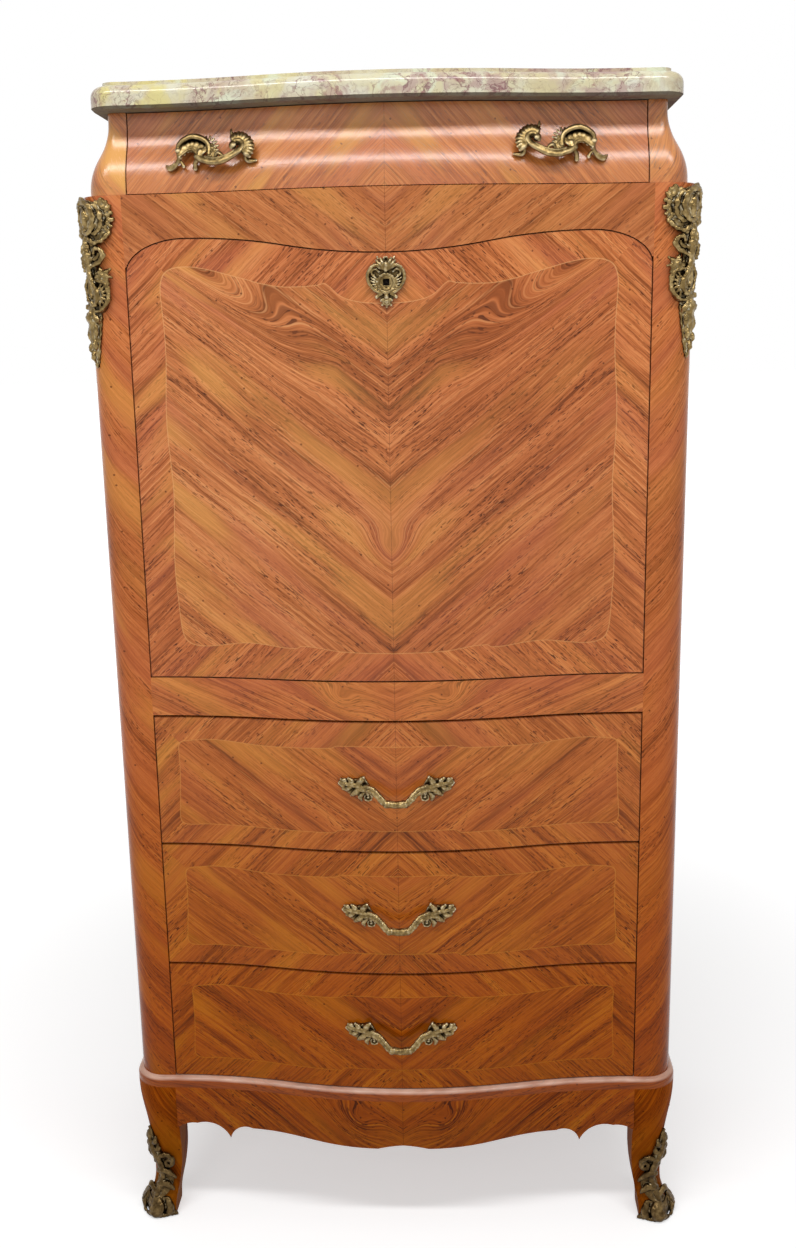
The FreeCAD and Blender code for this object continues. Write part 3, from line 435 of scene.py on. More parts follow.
def oak(name, seed, axis):
    """Plain waxed oak, with its grain along one axis (0, 1 or 2)."""
    shader = Shader(name)
    places = shader.places()
    along = places[axis]
    first, second = [places[i] for i in range(3) if i != axis]
    across = shader.add(first, shader.times(second, 0.83))
    across = wavy(shader, along, across, seed)
    colour, height = wood(shader, along, across, float(seed), OAK, contrast=0.9)
    return shader.principled({"Base Color": colour, "Roughness": shader.lift(height, -0.1, 0.62),
                              "Specular IOR Level": 0.3, "Normal": shader.bump(height, 0.1, 0.5)})


def darkened_wood(name, seed):
    """Dull wood, made very dark."""
    shader = Shader(name)
    x, y, z = shader.places()
    across = wavy(shader, z, shader.add(x, y), seed)
    colour, height = wood(shader, z, across, float(seed), VENEER)
    colour = shader.multiplied(colour, (0.22, 0.12, 0.06, 1.0))
    return shader.principled({"Base Color": colour, "Roughness": shader.lift(height, -0.1, 0.75),
                              "Specular IOR Level": 0.12, "Normal": shader.bump(height, 0.1, 0.4)})


# Stone, metal and leather

def marble():
    """Cream stone with ochre, mint and violet patches, and wine red veins that gather in clusters."""
    shader = Shader("marble")
    x, y, z = shader.places()
    place = shader.vector(x, y, z)
    inputs = {"Vector": place, "Scale": 1 / 40.0, "Detail": 4.0}
    swirl = shader.node("ShaderNodeTexNoise", inputs).outputs["Color"]
    bent = shader.node("ShaderNodeVectorMath", {0: swirl, 1: (34.0, 34.0, 34.0), 2: place},
                       operation="MULTIPLY_ADD").outputs[0]

    def patch(size, detail, shift, low, high, roughness=0.5):
        return shader.step(shader.noise(bent, 1 / size, detail, roughness, shift), low, high)

    colour = shader.ramp(shader.noise(bent, scale=1 / 52.0, detail=3),
                         ((0.3, srgb(209, 207, 189)), (0.46, srgb(201, 195, 168)),
                          (0.58, srgb(193, 181, 151)), (0.74, srgb(187, 171, 154))))
    lean = shader.step(x, 40.0, -280.0)
    ochre = patch(44.0, 3, 211.0, 0.46, 0.58)
    ochre = shader.times(ochre, shader.lift(lean, 0.65, 0.3))
    colour = shader.tint(colour, srgb(204, 192, 120), ochre, 0.85)
    mint = patch(30.0, 2, 402.0, 0.56, 0.64)
    colour = shader.tint(colour, srgb(206, 212, 186), mint, 0.7)
    gathered = shader.step(shader.noise(place, scale=1 / 62.0, detail=2, shift=97.0), 0.4, 0.58)
    spread = shader.times(gathered, shader.lift(lean, -0.45, 1.0))
    violet = patch(24.0, 5, 611.0, 0.47, 0.6, roughness=0.62)
    colour = shader.tint(colour, srgb(164, 132, 128), shader.times(violet, spread), 0.7)
    wine = patch(11.0, 4, 823.0, 0.55, 0.68, roughness=0.6)
    colour = shader.tint(colour, srgb(134, 74, 80), shader.times(wine, spread), 0.68)
    for size, width, weight, tone, shift in ((30.0, 0.022, 0.75, srgb(118, 70, 76), 51.0),
                                             (14.0, 0.02, 0.55, srgb(104, 76, 72), 143.0)):
        wander = shader.noise(bent, scale=1 / size, detail=4, roughness=0.55, shift=shift)
        ridge = shader.size(shader.less(wander, 0.5))
        vein = shader.times(shader.step(ridge, width, 0.0), shader.lift(gathered, 0.8, 0.2))
        colour = shader.tint(colour, tone, vein, weight)
    # Painted shade: faces that look down are darkened; they are also made rough, as unpolished stone
    under = shader.step(shader.facing_up(), -0.25, -0.75)
    colour = shader.tint(colour, srgb(72, 60, 50), under, 0.75)
    return shader.principled({"Base Color": colour, "Roughness": shader.lift(under, 0.8, 0.16),
                              "Specular IOR Level": 0.5, "Subsurface Weight": 0.06,
                              "Subsurface Scale": 0.004, "Subsurface Radius": (1.0, 0.8, 0.6)})


# Tones of the gilding; the last of each is the pale colour of the painted highlight on the ridges
GILT_TONES = (srgb(88, 71, 42), srgb(126, 105, 66), srgb(168, 147, 104), srgb(236, 226, 194))
FOOT_TONES = (srgb(56, 42, 24), srgb(88, 70, 43), srgb(124, 102, 66), srgb(226, 208, 168))


def gilt(name, tones):
    """Old gilding with a painted highlight on the ridges, and dark in the hollows."""
    shader = Shader(name)
    x, y, z = shader.places()
    place = shader.vector(x, y, z)
    blotch = shader.noise(place, scale=1 / 7.0, detail=4, roughness=0.6)
    colour = shader.ramp(blotch, tuple(zip((0.3, 0.5, 0.72), tones)))
    # Painted highlight: the pointed ridges turn pale
    ridge = shader.node("ShaderNodeNewGeometry").outputs["Pointiness"]
    colour = shader.mix(shader.times(shader.step(ridge, 0.51, 0.58), 0.75), colour, tones[3])
    hollow = shader.node("ShaderNodeAmbientOcclusion", {"Distance": HOLLOW_REACH}, samples=8).outputs["AO"]
    colour = shader.mix(shader.step(hollow, 0.95, 0.38), colour, srgb(44, 32, 18))
    grit = shader.noise(place, scale=1 / 0.9, detail=3)
    return shader.principled({"Base Color": colour, "Metallic": 1.0,
                              "Roughness": shader.weighed((blotch, 0.25), (grit, 0.15), (hollow, -0.12),
                                                          (1.0, 0.26)),
                              "Normal": shader.bump(grit, 0.2, 0.35)})


def steel():
    shader = Shader("steel")
    x, y, z = shader.places()
    brush = shader.noise(shader.vector(shader.times(x, 0.05), y, z), scale=3.0, detail=3)
    rust = shader.step(shader.noise(shader.vector(x, y, z), scale=1 / 9.0, detail=4), 0.55, 0.75)
    colour = shader.mix(shader.times(rust, 0.4), srgb(150, 146, 140), srgb(92, 66, 44))
    return shader.principled({"Base Color": colour, "Metallic": 1.0,
                              "Roughness": shader.weighed((brush, 0.3), (rust, 0.2), (1.0, 0.25)),
                              "Normal": shader.bump(brush, 0.1, 0.3)})


def keyhole_shade():
    """Painted shade: a near black surface for the plate in the escutcheon's square hole."""
    shader = Shader("keyhole_shade")
    x, y, z = shader.places()
    scale = shader.noise(shader.vector(x, y, z), scale=1 / 2.5, detail=4)
    colour = shader.ramp(scale, ((0.3, srgb(14, 11, 9)), (0.7, srgb(34, 26, 21))))
    return shader.principled({"Base Color": colour, "Roughness": 0.85, "Specular IOR Level": 0.1,
                              "Normal": shader.bump(scale, 0.2, 0.4)})


def leather():
    """Brown writing leather with a gilt line near its edge."""
    shader = Shader("leather")
    x, y, z = shader.places()
    low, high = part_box("fall_leather")
    centre_z = (low.z + high.z) / 2 / MM
    half_x, half_z = high.x / MM, (high.z - low.z) / 2 / MM
    place = shader.vector(x, y, z)
    grain = shader.node("ShaderNodeTexVoronoi", {"Vector": place, "Scale": 0.9}).outputs["Distance"]
    wear = shader.noise(place, scale=1 / 60.0, detail=4)
    colour = shader.ramp(wear,
                         ((0.3, srgb(70, 34, 20)), (0.55, srgb(98, 50, 28)), (0.75, srgb(134, 82, 48))))
    edge_x = shader.less(half_x, shader.size(x))
    edge_z = shader.less(half_z, shader.size(shader.less(z, centre_z)))
    edge = shader.math("MINIMUM", edge_x, edge_z)
    for inset, width in ((14.0, 1.1), (19.0, 0.5)):
        line = shader.math("LESS_THAN", shader.size(shader.less(edge, inset)), width)
        wear_and_painted_light = shader.times(line, shader.step(wear, 0.7, 0.35))
        colour = shader.mix(wear_and_painted_light, colour, srgb(204, 164, 88))
    return shader.principled({"Base Color": colour, "Roughness": shader.lift(wear, 0.2, 0.38),
                              "Normal": shader.bump(grain, 0.3, 0.4)})


# Dressing the solids

def dress(material, *nodes):
    for name in nodes:
        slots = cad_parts[name].data.materials
        slots.clear()
        slots.append(material)


FALL_TOP = ((0.0, 1191.0), (30.0, 1193.0), (52.0, 1200.0), (66.0, 1212.0), (70.0, 1214.0), (76.0, 1212.5),
            (109.0, 1211.0), (140.0, 1215.0), (165.0, 1222.0), (224.0, 1236.0), (300.0, 1238.0))
FALL_BOTTOM = ((0.0, 787.0), (60.0, 789.0), (110.0, 795.0), (118.0, 792.0), (175.0, 797.0), (225.0, 792.0),
               (300.0, 790.0))


def drawer_edges(low, high):
    """The panel's edges on a drawer front, as drops from its top and rises from its bottom."""
    top = ((0.0, 31.0), (70.0, 30.0), (80.0, 33.0), (150.0, 34.0), (235.0, 28.0), (262.0, 30.0),
           (300.0, 30.0))
    bottom = ((0.0, 26.0), (70.0, 27.0), (80.0, 23.0), (150.0, 24.0), (235.0, 26.0), (262.0, 25.0),
              (300.0, 25.0))
    return tuple((x, high - drop) for x, drop in top), tuple((x, low + rise) for x, rise in bottom)


DRAWERS = (1, 2, 3)
FALL_HALF = 260.0  # half widths of the panels
DRAWER_HALF = 272.0


def drawers(part):
    return [f"drawer_{number}_{part}" for number in DRAWERS]


def nest_drawers(part):
    return f"nest_drawer_left_{part}", f"nest_drawer_right_{part}"


def both(name):
    return f"{name}_left", f"{name}_right"


def dress_panels():
    cathedral = {"centre": (66.0, 1112.0), "length": 220.0, "width": 28.0, "height": 84.0, "open_end": 1}
    knot = {"centre": (0.0, 908.0), "length": 32.0, "width": 19.0, "height": 23.0}
    fall = panel_veneer("fall_veneer", 11, FALL_HALF, FALL_TOP, FALL_BOTTOM, 39.0, -43.0, soft=44.0,
                        eyes=(cathedral, knot), leaning=True, contrast=1.35)
    dress(fall, "fall_panel")
    for number, name in zip(DRAWERS, drawers("front")):
        low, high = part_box(name)
        top, bottom = drawer_edges(low.z / MM, high.z / MM)
        front = panel_veneer(f"drawer_{number}_veneer", 20 + 9 * number, DRAWER_HALF, top, bottom, 37.0,
                             -45.0, soft=18.0, gloss=0.18 - 0.03 * number, contrast=1.25)
        dress(front, name)


def dress_frame():
    frieze = {"golden": 1.0, "gloss": 0.65, "roughness": 0.24, "tone": FRIEZE_TONE}
    corner = {"seam": False, "wrapped": True}
    swirl = {"centre": (66.0, 730.0), "length": 26.0, "width": 15.0, "height": 18.0}
    burr = {"centre": (62.0, 166.0), "length": 40.0, "width": 22.0, "height": 25.0}
    dress(plain_veneer("top_drawer_veneer", -47.0, 61, **frieze), "top_drawer_front")
    dress(plain_veneer("frieze_side_veneer", 47.0, 64, edges=True, **corner, **frieze),
          *both("frieze_side"))
    dress(plain_veneer("frieze_rail_veneer", 38.0, 67, tone=RAIL_TONE), "frieze_rail")
    dress(plain_veneer("mid_rail_veneer", 24.0, 71, eyes=(swirl,), contrast=1.35), "mid_rail")
    dress(plain_veneer("stile_veneer", 47.0, 74, gloss=0.11, **corner), *both("stile"))
    dress(plain_veneer("side_veneer", 47.0, 77, gloss=0.11, **corner), *both("side_panel"))
    # The plinth's rounded top carries a painted highlight
    dress(plain_veneer("plinth_veneer", 8.0, 81, wear_and_painted_light=True, **corner), "plinth_board")
    dress(plain_veneer("apron_veneer", 40.0, 84, eyes=(burr,), gloss=0.08, contrast=1.7), "apron_front")
    legs = plain_veneer("leg_veneer", 62.0, 87, gloss=0.02, roughness=0.5, contrast=1.4, **corner)
    dress(legs, *both("front_leg"), "side_aprons")
    dress(darkened_wood("rear_leg_wood", 89), "rear_legs")


def dress_inside():
    dress(plain_veneer("nest_veneer", 0.0, 91, mirror=False), "nest_shelves", "interior_floor",
          *nest_drawers("front"))
    dress(plain_veneer("nest_upright_veneer", 90.0, 94, mirror=False), "nest_sides", "nest_dividers")
    dress(oak("oak_across", 101, 0), "top_board", "frieze_shelf", "dust_boards", "top_drawer_bottom",
          *drawers("bottom"))
    dress(oak("oak_deep", 104, 1), "drawer_guides", "top_drawer_walls", *drawers("walls"),
          *nest_drawers("box"))
    dress(oak("oak_upright", 107, 2), "back_panel")
    dress(leather(), "fall_leather")


def dress_stone_and_metal():
    dress(marble(), "marble_top")
    gilding = gilt("gilt_bronze", GILT_TONES)
    dress(gilding, *both("chute"), "fall_escutcheon", "top_drawer_handles", *drawers("handle"),
          *nest_drawers("knob"), "strike_plate")
    foot_gilding = gilt("foot_bronze", FOOT_TONES)
    dress(foot_gilding, *both("sabot"))
    dress(steel(), "fall_lock_case", "fall_pivots", "lock_bolt")
    add_mounts(gilding, foot_gilding, keyhole_shade())


# Gilt mounts: modelled flat in millimetres as (across, up, out), then laid on what carries them

STROKE_STEPS = 7  # between two points of a stroke
STROKE_SIDES = 10
LEAST_RADIUS = 0.3
END_TURNS = (75, 45, 20)  # rings that round off an end, in degrees
STEEP = 0.2  # a stroke that rises more steeply keeps its last side
RAGGED_SIZES = (5.5, 2.8)
FLAT_BACK = -0.2  # how far a mount sinks into its seat
OUT = Vector((0.0, 0.0, 1.0))


def smooth_path(points, closed=False):
    """A curve through the points; columns past the third, such as radii, are smoothed alike."""
    points = list(points)
    if closed:
        padded = [points[-1]] + points + points[:2]
    else:
        padded = [points[0]] + points + [points[-1]]
    path = []
    for four in zip(padded, padded[1:], padded[2:], padded[3:]):
        for step in range(STROKE_STEPS):
            t = step / STROKE_STEPS
            path.append([(2 * b + (c - a) * t + (2 * a - 5 * b + 4 * c - d) * t ** 2
                          + (3 * b - a - 3 * c + d) * t ** 3) / 2 for a, b, c, d in zip(*four)])
    return path if closed else path + [list(points[-1])]


def mirrored(points):
    return [(-point[0],) + tuple(point[1:]) for point in points]


class Casting:
    """A mount built up from overlapping strokes, beads and plates."""

    def __init__(self):
        self.mesh = bmesh.new()

    def skin(self, rings):
        rows = [[self.mesh.verts.new(place) for place in ring] for ring in rings]
        for row, following in zip(rows, rows[1:]):
            for i in range(len(row)):
                self.mesh.faces.new((row[i - 1], row[i], following[i], following[i - 1]))
        self.mesh.faces.new(reversed(rows[0]))
        self.mesh.faces.new(rows[-1])

    def stroke(self, *points, flat=1.0):
        """A ribbon with rounded ends through (across, up, out, radius) points."""
        path = smooth_path(points)
        places = [Vector(row[:3]) for row in path]
        radii = [max(row[3], LEAST_RADIUS) for row in path]
        rings = []
        side = Vector((1.0, 0.0, 0.0))

        def ring(centre, tangent, radius):
            rise = side.cross(tangent)
            turns = [2 * math.pi * i / STROKE_SIDES for i in range(STROKE_SIDES)]
            rings.append([centre + side * (radius * math.cos(t)) + rise * (radius * flat * math.sin(t))
                          for t in turns])

        last = len(places) - 1
        for i, (place, radius) in enumerate(zip(places, radii)):
            tangent = (places[min(i + 1, last)] - places[max(i - 1, 0)]).normalized()
            crossing = tangent.cross(OUT)
            if crossing.length > STEEP:
                side = crossing.normalized()
            if i == 0:
                for angle in map(math.radians, END_TURNS):
                    ring(place - tangent * (radius * math.sin(angle)), tangent, radius * math.cos(angle))
            ring(place, tangent, radius)
            if i == last:
                for angle in map(math.radians, reversed(END_TURNS)):
                    ring(place + tangent * (radius * math.sin(angle)), tangent, radius * math.cos(angle))
        self.skin(rings)

    def pair(self, *points, flat=1.0):
        """A stroke and its mirror image."""
        self.stroke(*points, flat=flat)
        self.stroke(*mirrored(points), flat=flat)

    def bead(self, across, up, out, radius, flat=1.0):
        placing = Matrix.Translation((across, up, out)) @ Matrix.Diagonal((1.0, 1.0, flat, 1.0))
        bmesh.ops.create_icosphere(self.mesh, subdivisions=2, radius=radius, matrix=placing)

    def bead_row(self, points, count, radius, flat=1.0):
        """Beads spaced evenly along a curve."""
        path = smooth_path(points)
        for i in range(count):
            across, up, out = path[round(i * (len(path) - 1) / max(count - 1, 1))][:3]
            self.bead(across, up, out, radius, flat)

    def plate(self, outline, low, high):
        """A flat ground for the relief, inside a smooth outline of (across, up) points."""
        path = smooth_path(outline, closed=True)
        self.skin([[(a, u, level) for a, u in path] for level in (low, high)])

    def ring(self, across, up, out, size, radius, flat=1.0):
        turns = [math.radians(angle) for angle in range(0, 361, 45)]
        self.stroke(*[(across + size * math.cos(t), up + size * math.sin(t), out, radius) for t in turns],
                    flat=flat)

    def petals(self, centre, tips, radius, drop=0.5):
        """Leaf shaped strokes from a centre to each tip, fattest half way."""
        across, up, out = centre
        for tip_across, tip_up in tips:
            half = ((across + tip_across) / 2, (up + tip_up) / 2, out, radius)
            self.stroke((across, up, out, radius * 0.7), half,
                        (tip_across, tip_up, out * drop, radius * 0.45))

    def husk(self, across, top, bottom, spread, out, radius):
        """Three hanging leaves, the middle one the fattest."""
        middle = (top + bottom) / 2
        self.stroke((across, top, out * 0.7, radius), (across, middle, out, radius * 1.25),
                    (across, bottom, out * 0.6, radius * 0.5))
        for side in (-spread, spread):
            self.stroke((across, top, out * 0.7, radius * 0.8), (across + side, middle, out * 0.85, radius),
                        (across + side * 1.15, bottom * 0.8 + top * 0.2, out * 0.5, radius * 0.45))

    def melted(self, voxel, ragged=0.0):
        """The strokes run together into one closed skin, with the unevenness of a chased casting."""
        mesh = bpy.data.meshes.new("melt")
        self.mesh.to_mesh(mesh)
        self.mesh.free()
        melt = bpy.data.objects.new("melt", mesh)
        remesh = melt.modifiers.new("fuse", "REMESH")
        remesh.mode = "VOXEL"
        remesh.voxel_size = voxel
        soften = melt.modifiers.new("soften", "SMOOTH")
        soften.iterations = 2
        skin = applied(melt)
        if ragged:
            pushes = [sum(noise.noise(v.co / size) for size in RAGGED_SIZES) for v in skin.vertices]
            places = [v.co + v.normal * (ragged * push) for v, push in zip(skin.vertices, pushes)]
            for vertex, place in zip(skin.vertices, places):
                vertex.co = place
        return skin


def applied(piece):
    """The mesh of an object with its modifiers worked in; the object goes."""
    bpy.context.scene.collection.objects.link(piece)
    graph = bpy.context.evaluated_depsgraph_get()
    skin = bpy.data.meshes.new_from_object(piece.evaluated_get(graph))
    bare = piece.data
    bpy.data.objects.remove(piece)
    bpy.data.meshes.remove(bare)
    return skin


def add_mount(name, skin, seats, body, node, material, faces=26000):
    """Lays a casting on each of its seats and joins the copies. A seat gives a place in millimetres."""
    joined = bmesh.new()
    for seat, flipped in seats:
        laid = skin.copy()
        for vertex in laid.vertices:
            across, up, out = vertex.co
            vertex.co = Vector(seat(across, up, max(out, FLAT_BACK))) * MM
        if flipped:
            laid.flip_normals()
        joined.from_mesh(laid)
        bpy.data.meshes.remove(laid)
    dense = bpy.data.meshes.new(name)
    joined.to_mesh(dense)
    joined.free()
    draft = bpy.data.objects.new(name, dense)
    thin = draft.modifiers.new("thin", "DECIMATE")
    thin.ratio = min(1.0, faces * len(seats) / (2 * len(dense.polygons)))
    mesh = applied(draft)
    mesh.materials.clear()
    mesh.materials.append(material)
    mesh.shade_smooth()
    mount = bpy.data.objects.new(name, mesh)
    bpy.context.scene.collection.objects.link(mount)
    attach(mount, body)
    if node:
        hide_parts(node)


# Seats of the mounts

STILE_RADIUS = 32.0
FRIEZE_HEIGHT = 91.5
FRIEZE_SETBACK = 3.0
CYMA_DEPTH = 23.0
CYMA_START = 0.06  # shares of the frieze's height
CYMA_END = 0.89
ANKLE = 58.0  # height of the narrowest part of a leg
KNEE = 196.0
LEG_SWING = 15.5
TOE = 8.0
TOE_FLARE = 9.0
KNEE_TURN = 0.68  # where the leg's curve turns, as a share of its run
TOE_TURN = 0.6
LEG_EDGE = 356.0  # how far out a knee stands
ANKLE_RADIUS = 16.0
KNEE_RADIUS = 39.0
CHUTE_DROP = 1.5  # under the shoulder
TOP_HANDLE_PLACE = 195.0  # from the middle
TOP_HANDLE_SHARE = 0.49  # of the frieze's height


def eased(run, turn):
    """A soft step from 0 to 1 whose slope turns at a share of the run."""
    run = min(max(run, 0.0), 1.0)
    return run ** 2 / turn if run < turn else 1 - (1 - run) ** 2 / (1 - turn)


def bow(x):
    """How far the bowed front stands before the stile faces, along two equal arcs."""
    run = min(abs(x), HALF_OPEN)
    sweep = 2 * math.atan(BOW / HALF_OPEN)
    radius = HALF_OPEN / 2 / math.sin(sweep)
    if run < HALF_OPEN / 2:
        return BOW - radius + math.sqrt(radius ** 2 - run ** 2)
    return radius - math.sqrt(radius ** 2 - (HALF_OPEN - run) ** 2)


def front_seat(middle_x, middle_z):
    """On the bowed front."""
    def seat(across, up, out):
        x = middle_x + across
        return x, FACE - bow(x) - out, middle_z + up
    return seat


def frieze_seat(middle_x, middle_z, side):
    """On the top drawer, whose front leans back in a cyma; side -1 turns the mount about."""
    def seat(across, up, out):
        x = middle_x + side * across
        z = middle_z + up
        lean = eased(((z - SHOULDER) / FRIEZE_HEIGHT - CYMA_START) / (CYMA_END - CYMA_START), 0.5)
        return x, FACE + FRIEZE_SETBACK + CYMA_DEPTH * lean - bow(x) - out, z
    return seat


def round_corner(outer, front, radius, across, out):
    """A place on a rounded corner, at a run round it from its middle: towards the front if negative."""
    half_run = radius * math.pi / 4
    inside = min(max(across, -half_run), half_run)
    lean = math.pi / 4 + inside / radius
    x = outer - radius + (radius + out) * math.sin(lean)
    y = front + radius - (radius + out) * math.cos(lean)
    past = across - inside
    return (x + past, y) if past < 0 else (x, y + past)


def stile_seat(top_z, side):
    def seat(across, up, out):
        x, y = round_corner(HALF_BODY, FACE, STILE_RADIUS, across, out)
        return side * x, y, top_z + up
    return seat


def leg_seat(side):
    def seat(across, up, out):
        z = max(up, 0.0)
        knee = eased((z - ANKLE) / (KNEE - ANKLE), KNEE_TURN)
        outer = LEG_EDGE - LEG_SWING * (1 - knee) + TOE_FLARE * eased((ANKLE - z) / (ANKLE - TOE), TOE_TURN)
        radius = ANKLE_RADIUS + (KNEE_RADIUS - ANKLE_RADIUS) * knee
        x, y = round_corner(outer, FACE - (outer - HALF_BODY), radius, across, out)
        return side * x, y, z
    return seat


# Castings

def chute_casting():
    """A corner mount: scrolls and a shell over a hanging stem of leaves. Negative is the front side."""
    cast = Casting()
    cast.plate(((14, -7), (3, -2), (-9, -5), (-23, -4), (-30, -15), (-30, -30), (-25, -44), (-12, -50),
                (6, -47), (16, -38), (18, -20)), -0.4, 4.6)
    cast.plate(((5, -42), (-8, -46), (-12, -62), (-10, -78), (-13, -94), (-5, -104), (8, -96), (10, -70)),
               -0.4, 4.2)
    cast.plate(((8, -90), (-10, -90), (-20, -94), (-24, -108), (-21, -120), (-13, -128), (-2, -131),
                (9, -124)), -0.4, 4.2)
    cast.plate(((9, -124), (-11, -126), (-11, -142), (-8, -158), (-5, -176), (-1, -189), (3, -178),
                (8, -156), (10, -140)), -0.4, 3.2)
    # Outer scroll with its eye
    cast.stroke((3, -47, 4, 2), (12, -40, 5, 2.8), (17, -25, 5, 3.1), (13, -10, 6, 3.1), (3, -5, 7.5, 3.1),
                (-8, -9, 8, 3.1), (-12.5, -22, 8, 3.1), (-10, -34, 7.5, 2.8), (-3, -40, 6.5, 2.5),
                (3, -36, 6, 2.2), (2, -30, 5.5, 1.8))
    cast.stroke((6, -13, 3.6, 4.6), (2, -22, 4.4, 6.4), (3, -33, 3.8, 4.6), flat=0.7)
    cast.stroke((11, -18, 4, 2.2), (12, -27, 4.4, 2.6), (8, -37, 4, 2.2))
    cast.stroke((9, -10, 4, 2.4), (4, -4.5, 7, 2.8), (1, -2, 7.5, 1.4))
    cast.stroke((18, -10, 3.6, 2.6), (11, -2.6, 5, 2.8), (2, -1.4, 6, 2.2))
    cast.bead(15, -40, 5, 3.5)
    cast.bead(2, -29, 6.4, 2.5)
    # Rocaille lobe on the front side, with a ragged edge
    lobes = ((-15, -6), (-20.5, -4), (-25.5, -6), (-29, -11), (-31, -18), (-31.5, -25), (-30, -32),
             (-27, -39))
    for i, (across, up) in enumerate(lobes):
        size = 3.3 if i % 2 else 2.7
        cast.stroke((across, up, 3.8, size), (across * 0.62 - 7, up * 0.6 - 9.4, 4.8, 2.2))
    cast.stroke((-13, -9, 6, 2), (-18, -15, 6.6, 2.5), (-20, -24, 6.6, 2.6), (-18, -34, 6, 2.4),
                (-12, -40, 6, 2))
    cast.stroke((-15, -15, 4, 2.2), (-16, -25, 4.4, 2.6), (-13, -35, 4, 2.4))
    crescent = ((-4, -45, 5.6), (-11, -50, 6.6), (-19, -48, 6.6), (-25, -41, 5.4))
    cast.stroke(*[point + (2.7,) for point in crescent])
    cast.bead_row([(a, u, o + 1.7) for a, u, o in crescent], 11, 1.5)
    # Stem, swelling like a vase, then drawn out in a long curve
    cast.stroke((1, -41, 4, 2.6), (1, -52, 5.5, 4.8), (-1, -62, 6, 5.2), (-2, -72, 6, 4.2),
                (-3, -82, 7, 3.2), (-7, -93, 8, 2.7), (-12, -104, 8.4, 2.9), (-12, -112, 7.4, 2.7),
                (-7, -119, 6.4, 2.3), (-2, -116, 6, 1.8))
    cast.stroke((2, -46, 7.6, 0.9), (2.5, -56, 10.4, 1.2), (1, -66, 10.4, 1.1), (-1, -78, 9.2, 0.9))
    cast.stroke((-2, -77, 6, 1.9), (-9, -75, 6.6, 2.4), (-16, -71, 7, 2.7), (-20, -64, 7.5, 2.7),
                (-18, -57.5, 7.5, 2.5), (-12, -56, 7, 2.3), (-10, -60.5, 6.4, 1.9))
    cast.stroke((-6, -68, 4, 2.4), (-13, -66, 4.2, 2.6), (-15, -61, 4, 2.2))
    cast.stroke((2, -58, 4.4, 2), (9, -62, 5.4, 2.6), (14, -70, 5.4, 2.8), (12, -79, 4.6, 2),
                (7, -78, 4.4, 1.5))
    cast.bead(-8.5, -52, 5, 2.6)
    cast.bead(5, -46, 5, 2.8)
    # Flower on the front side
    cast.petals((-18, -86, 6), ((-25.5, -79), (-27.5, -88), (-24, -96), (-15, -97), (-10, -89), (-15, -77)),
                3.1, 0.75)
    cast.bead(-18, -86, 8, 2.6)
    # Ribbed shell
    rim = ((-9, -92, 5.4, 2), (-17, -93, 6.6, 2.4), (-22.5, -99, 7, 2.4), (-23.5, -108, 7, 2.4),
           (-21, -117, 6.6, 2.4), (-15, -124, 6, 2.1), (-7, -126, 5.4, 1.9))
    cast.stroke(*rim)
    for across, up in ((-15, -95), (-19, -98), (-21, -103), (-21.5, -108), (-20.5, -113), (-18, -118),
                       (-14, -121)):
        cast.stroke((across, up, 5, 1.6), ((across - 11) / 2, (up - 108) / 2, 5.8, 1.4),
                    (-10, -108, 4.8, 1))
    cast.stroke((5, -88, 4.4, 1.8), (8, -98, 5, 2.3), (6, -110, 5, 2.2), (1, -115, 5, 1.7))
    cast.stroke((1, -92, 4, 2.2), (2, -102, 4.2, 2.4), (-1, -110, 4, 2))
    cast.bead(8, -120, 4.4, 3.7)
    cast.stroke((8, -120, 4, 2.2), (1, -122, 4.6, 2.4))
    # Tapered bud with overlapping scales
    cast.stroke((-0.5, -125, 3.0, 8.0), (-0.5, -142, 4.0, 8.0), (0.0, -160, 3.6, 6.4),
                (0.4, -176, 2.8, 4.4), (0.6, -188, 2.0, 1.8), flat=0.6)
    cast.husk(-0.5, -124, -144, 7.5, 7.4, 3.0)
    for across, top, bottom in ((-5.5, -142, -156), (4.5, -147, -160), (-3.5, -158, -170),
                                (3.0, -163, -174), (-0.5, -171, -183)):
        cast.stroke((across, top, 5.4, 2.6), (across * 1.15, (top + bottom) / 2, 6.6, 2.8),
                    (across * 0.9, bottom, 4.4, 1.0))
    return cast.melted(voxel=0.42, ragged=1.0)


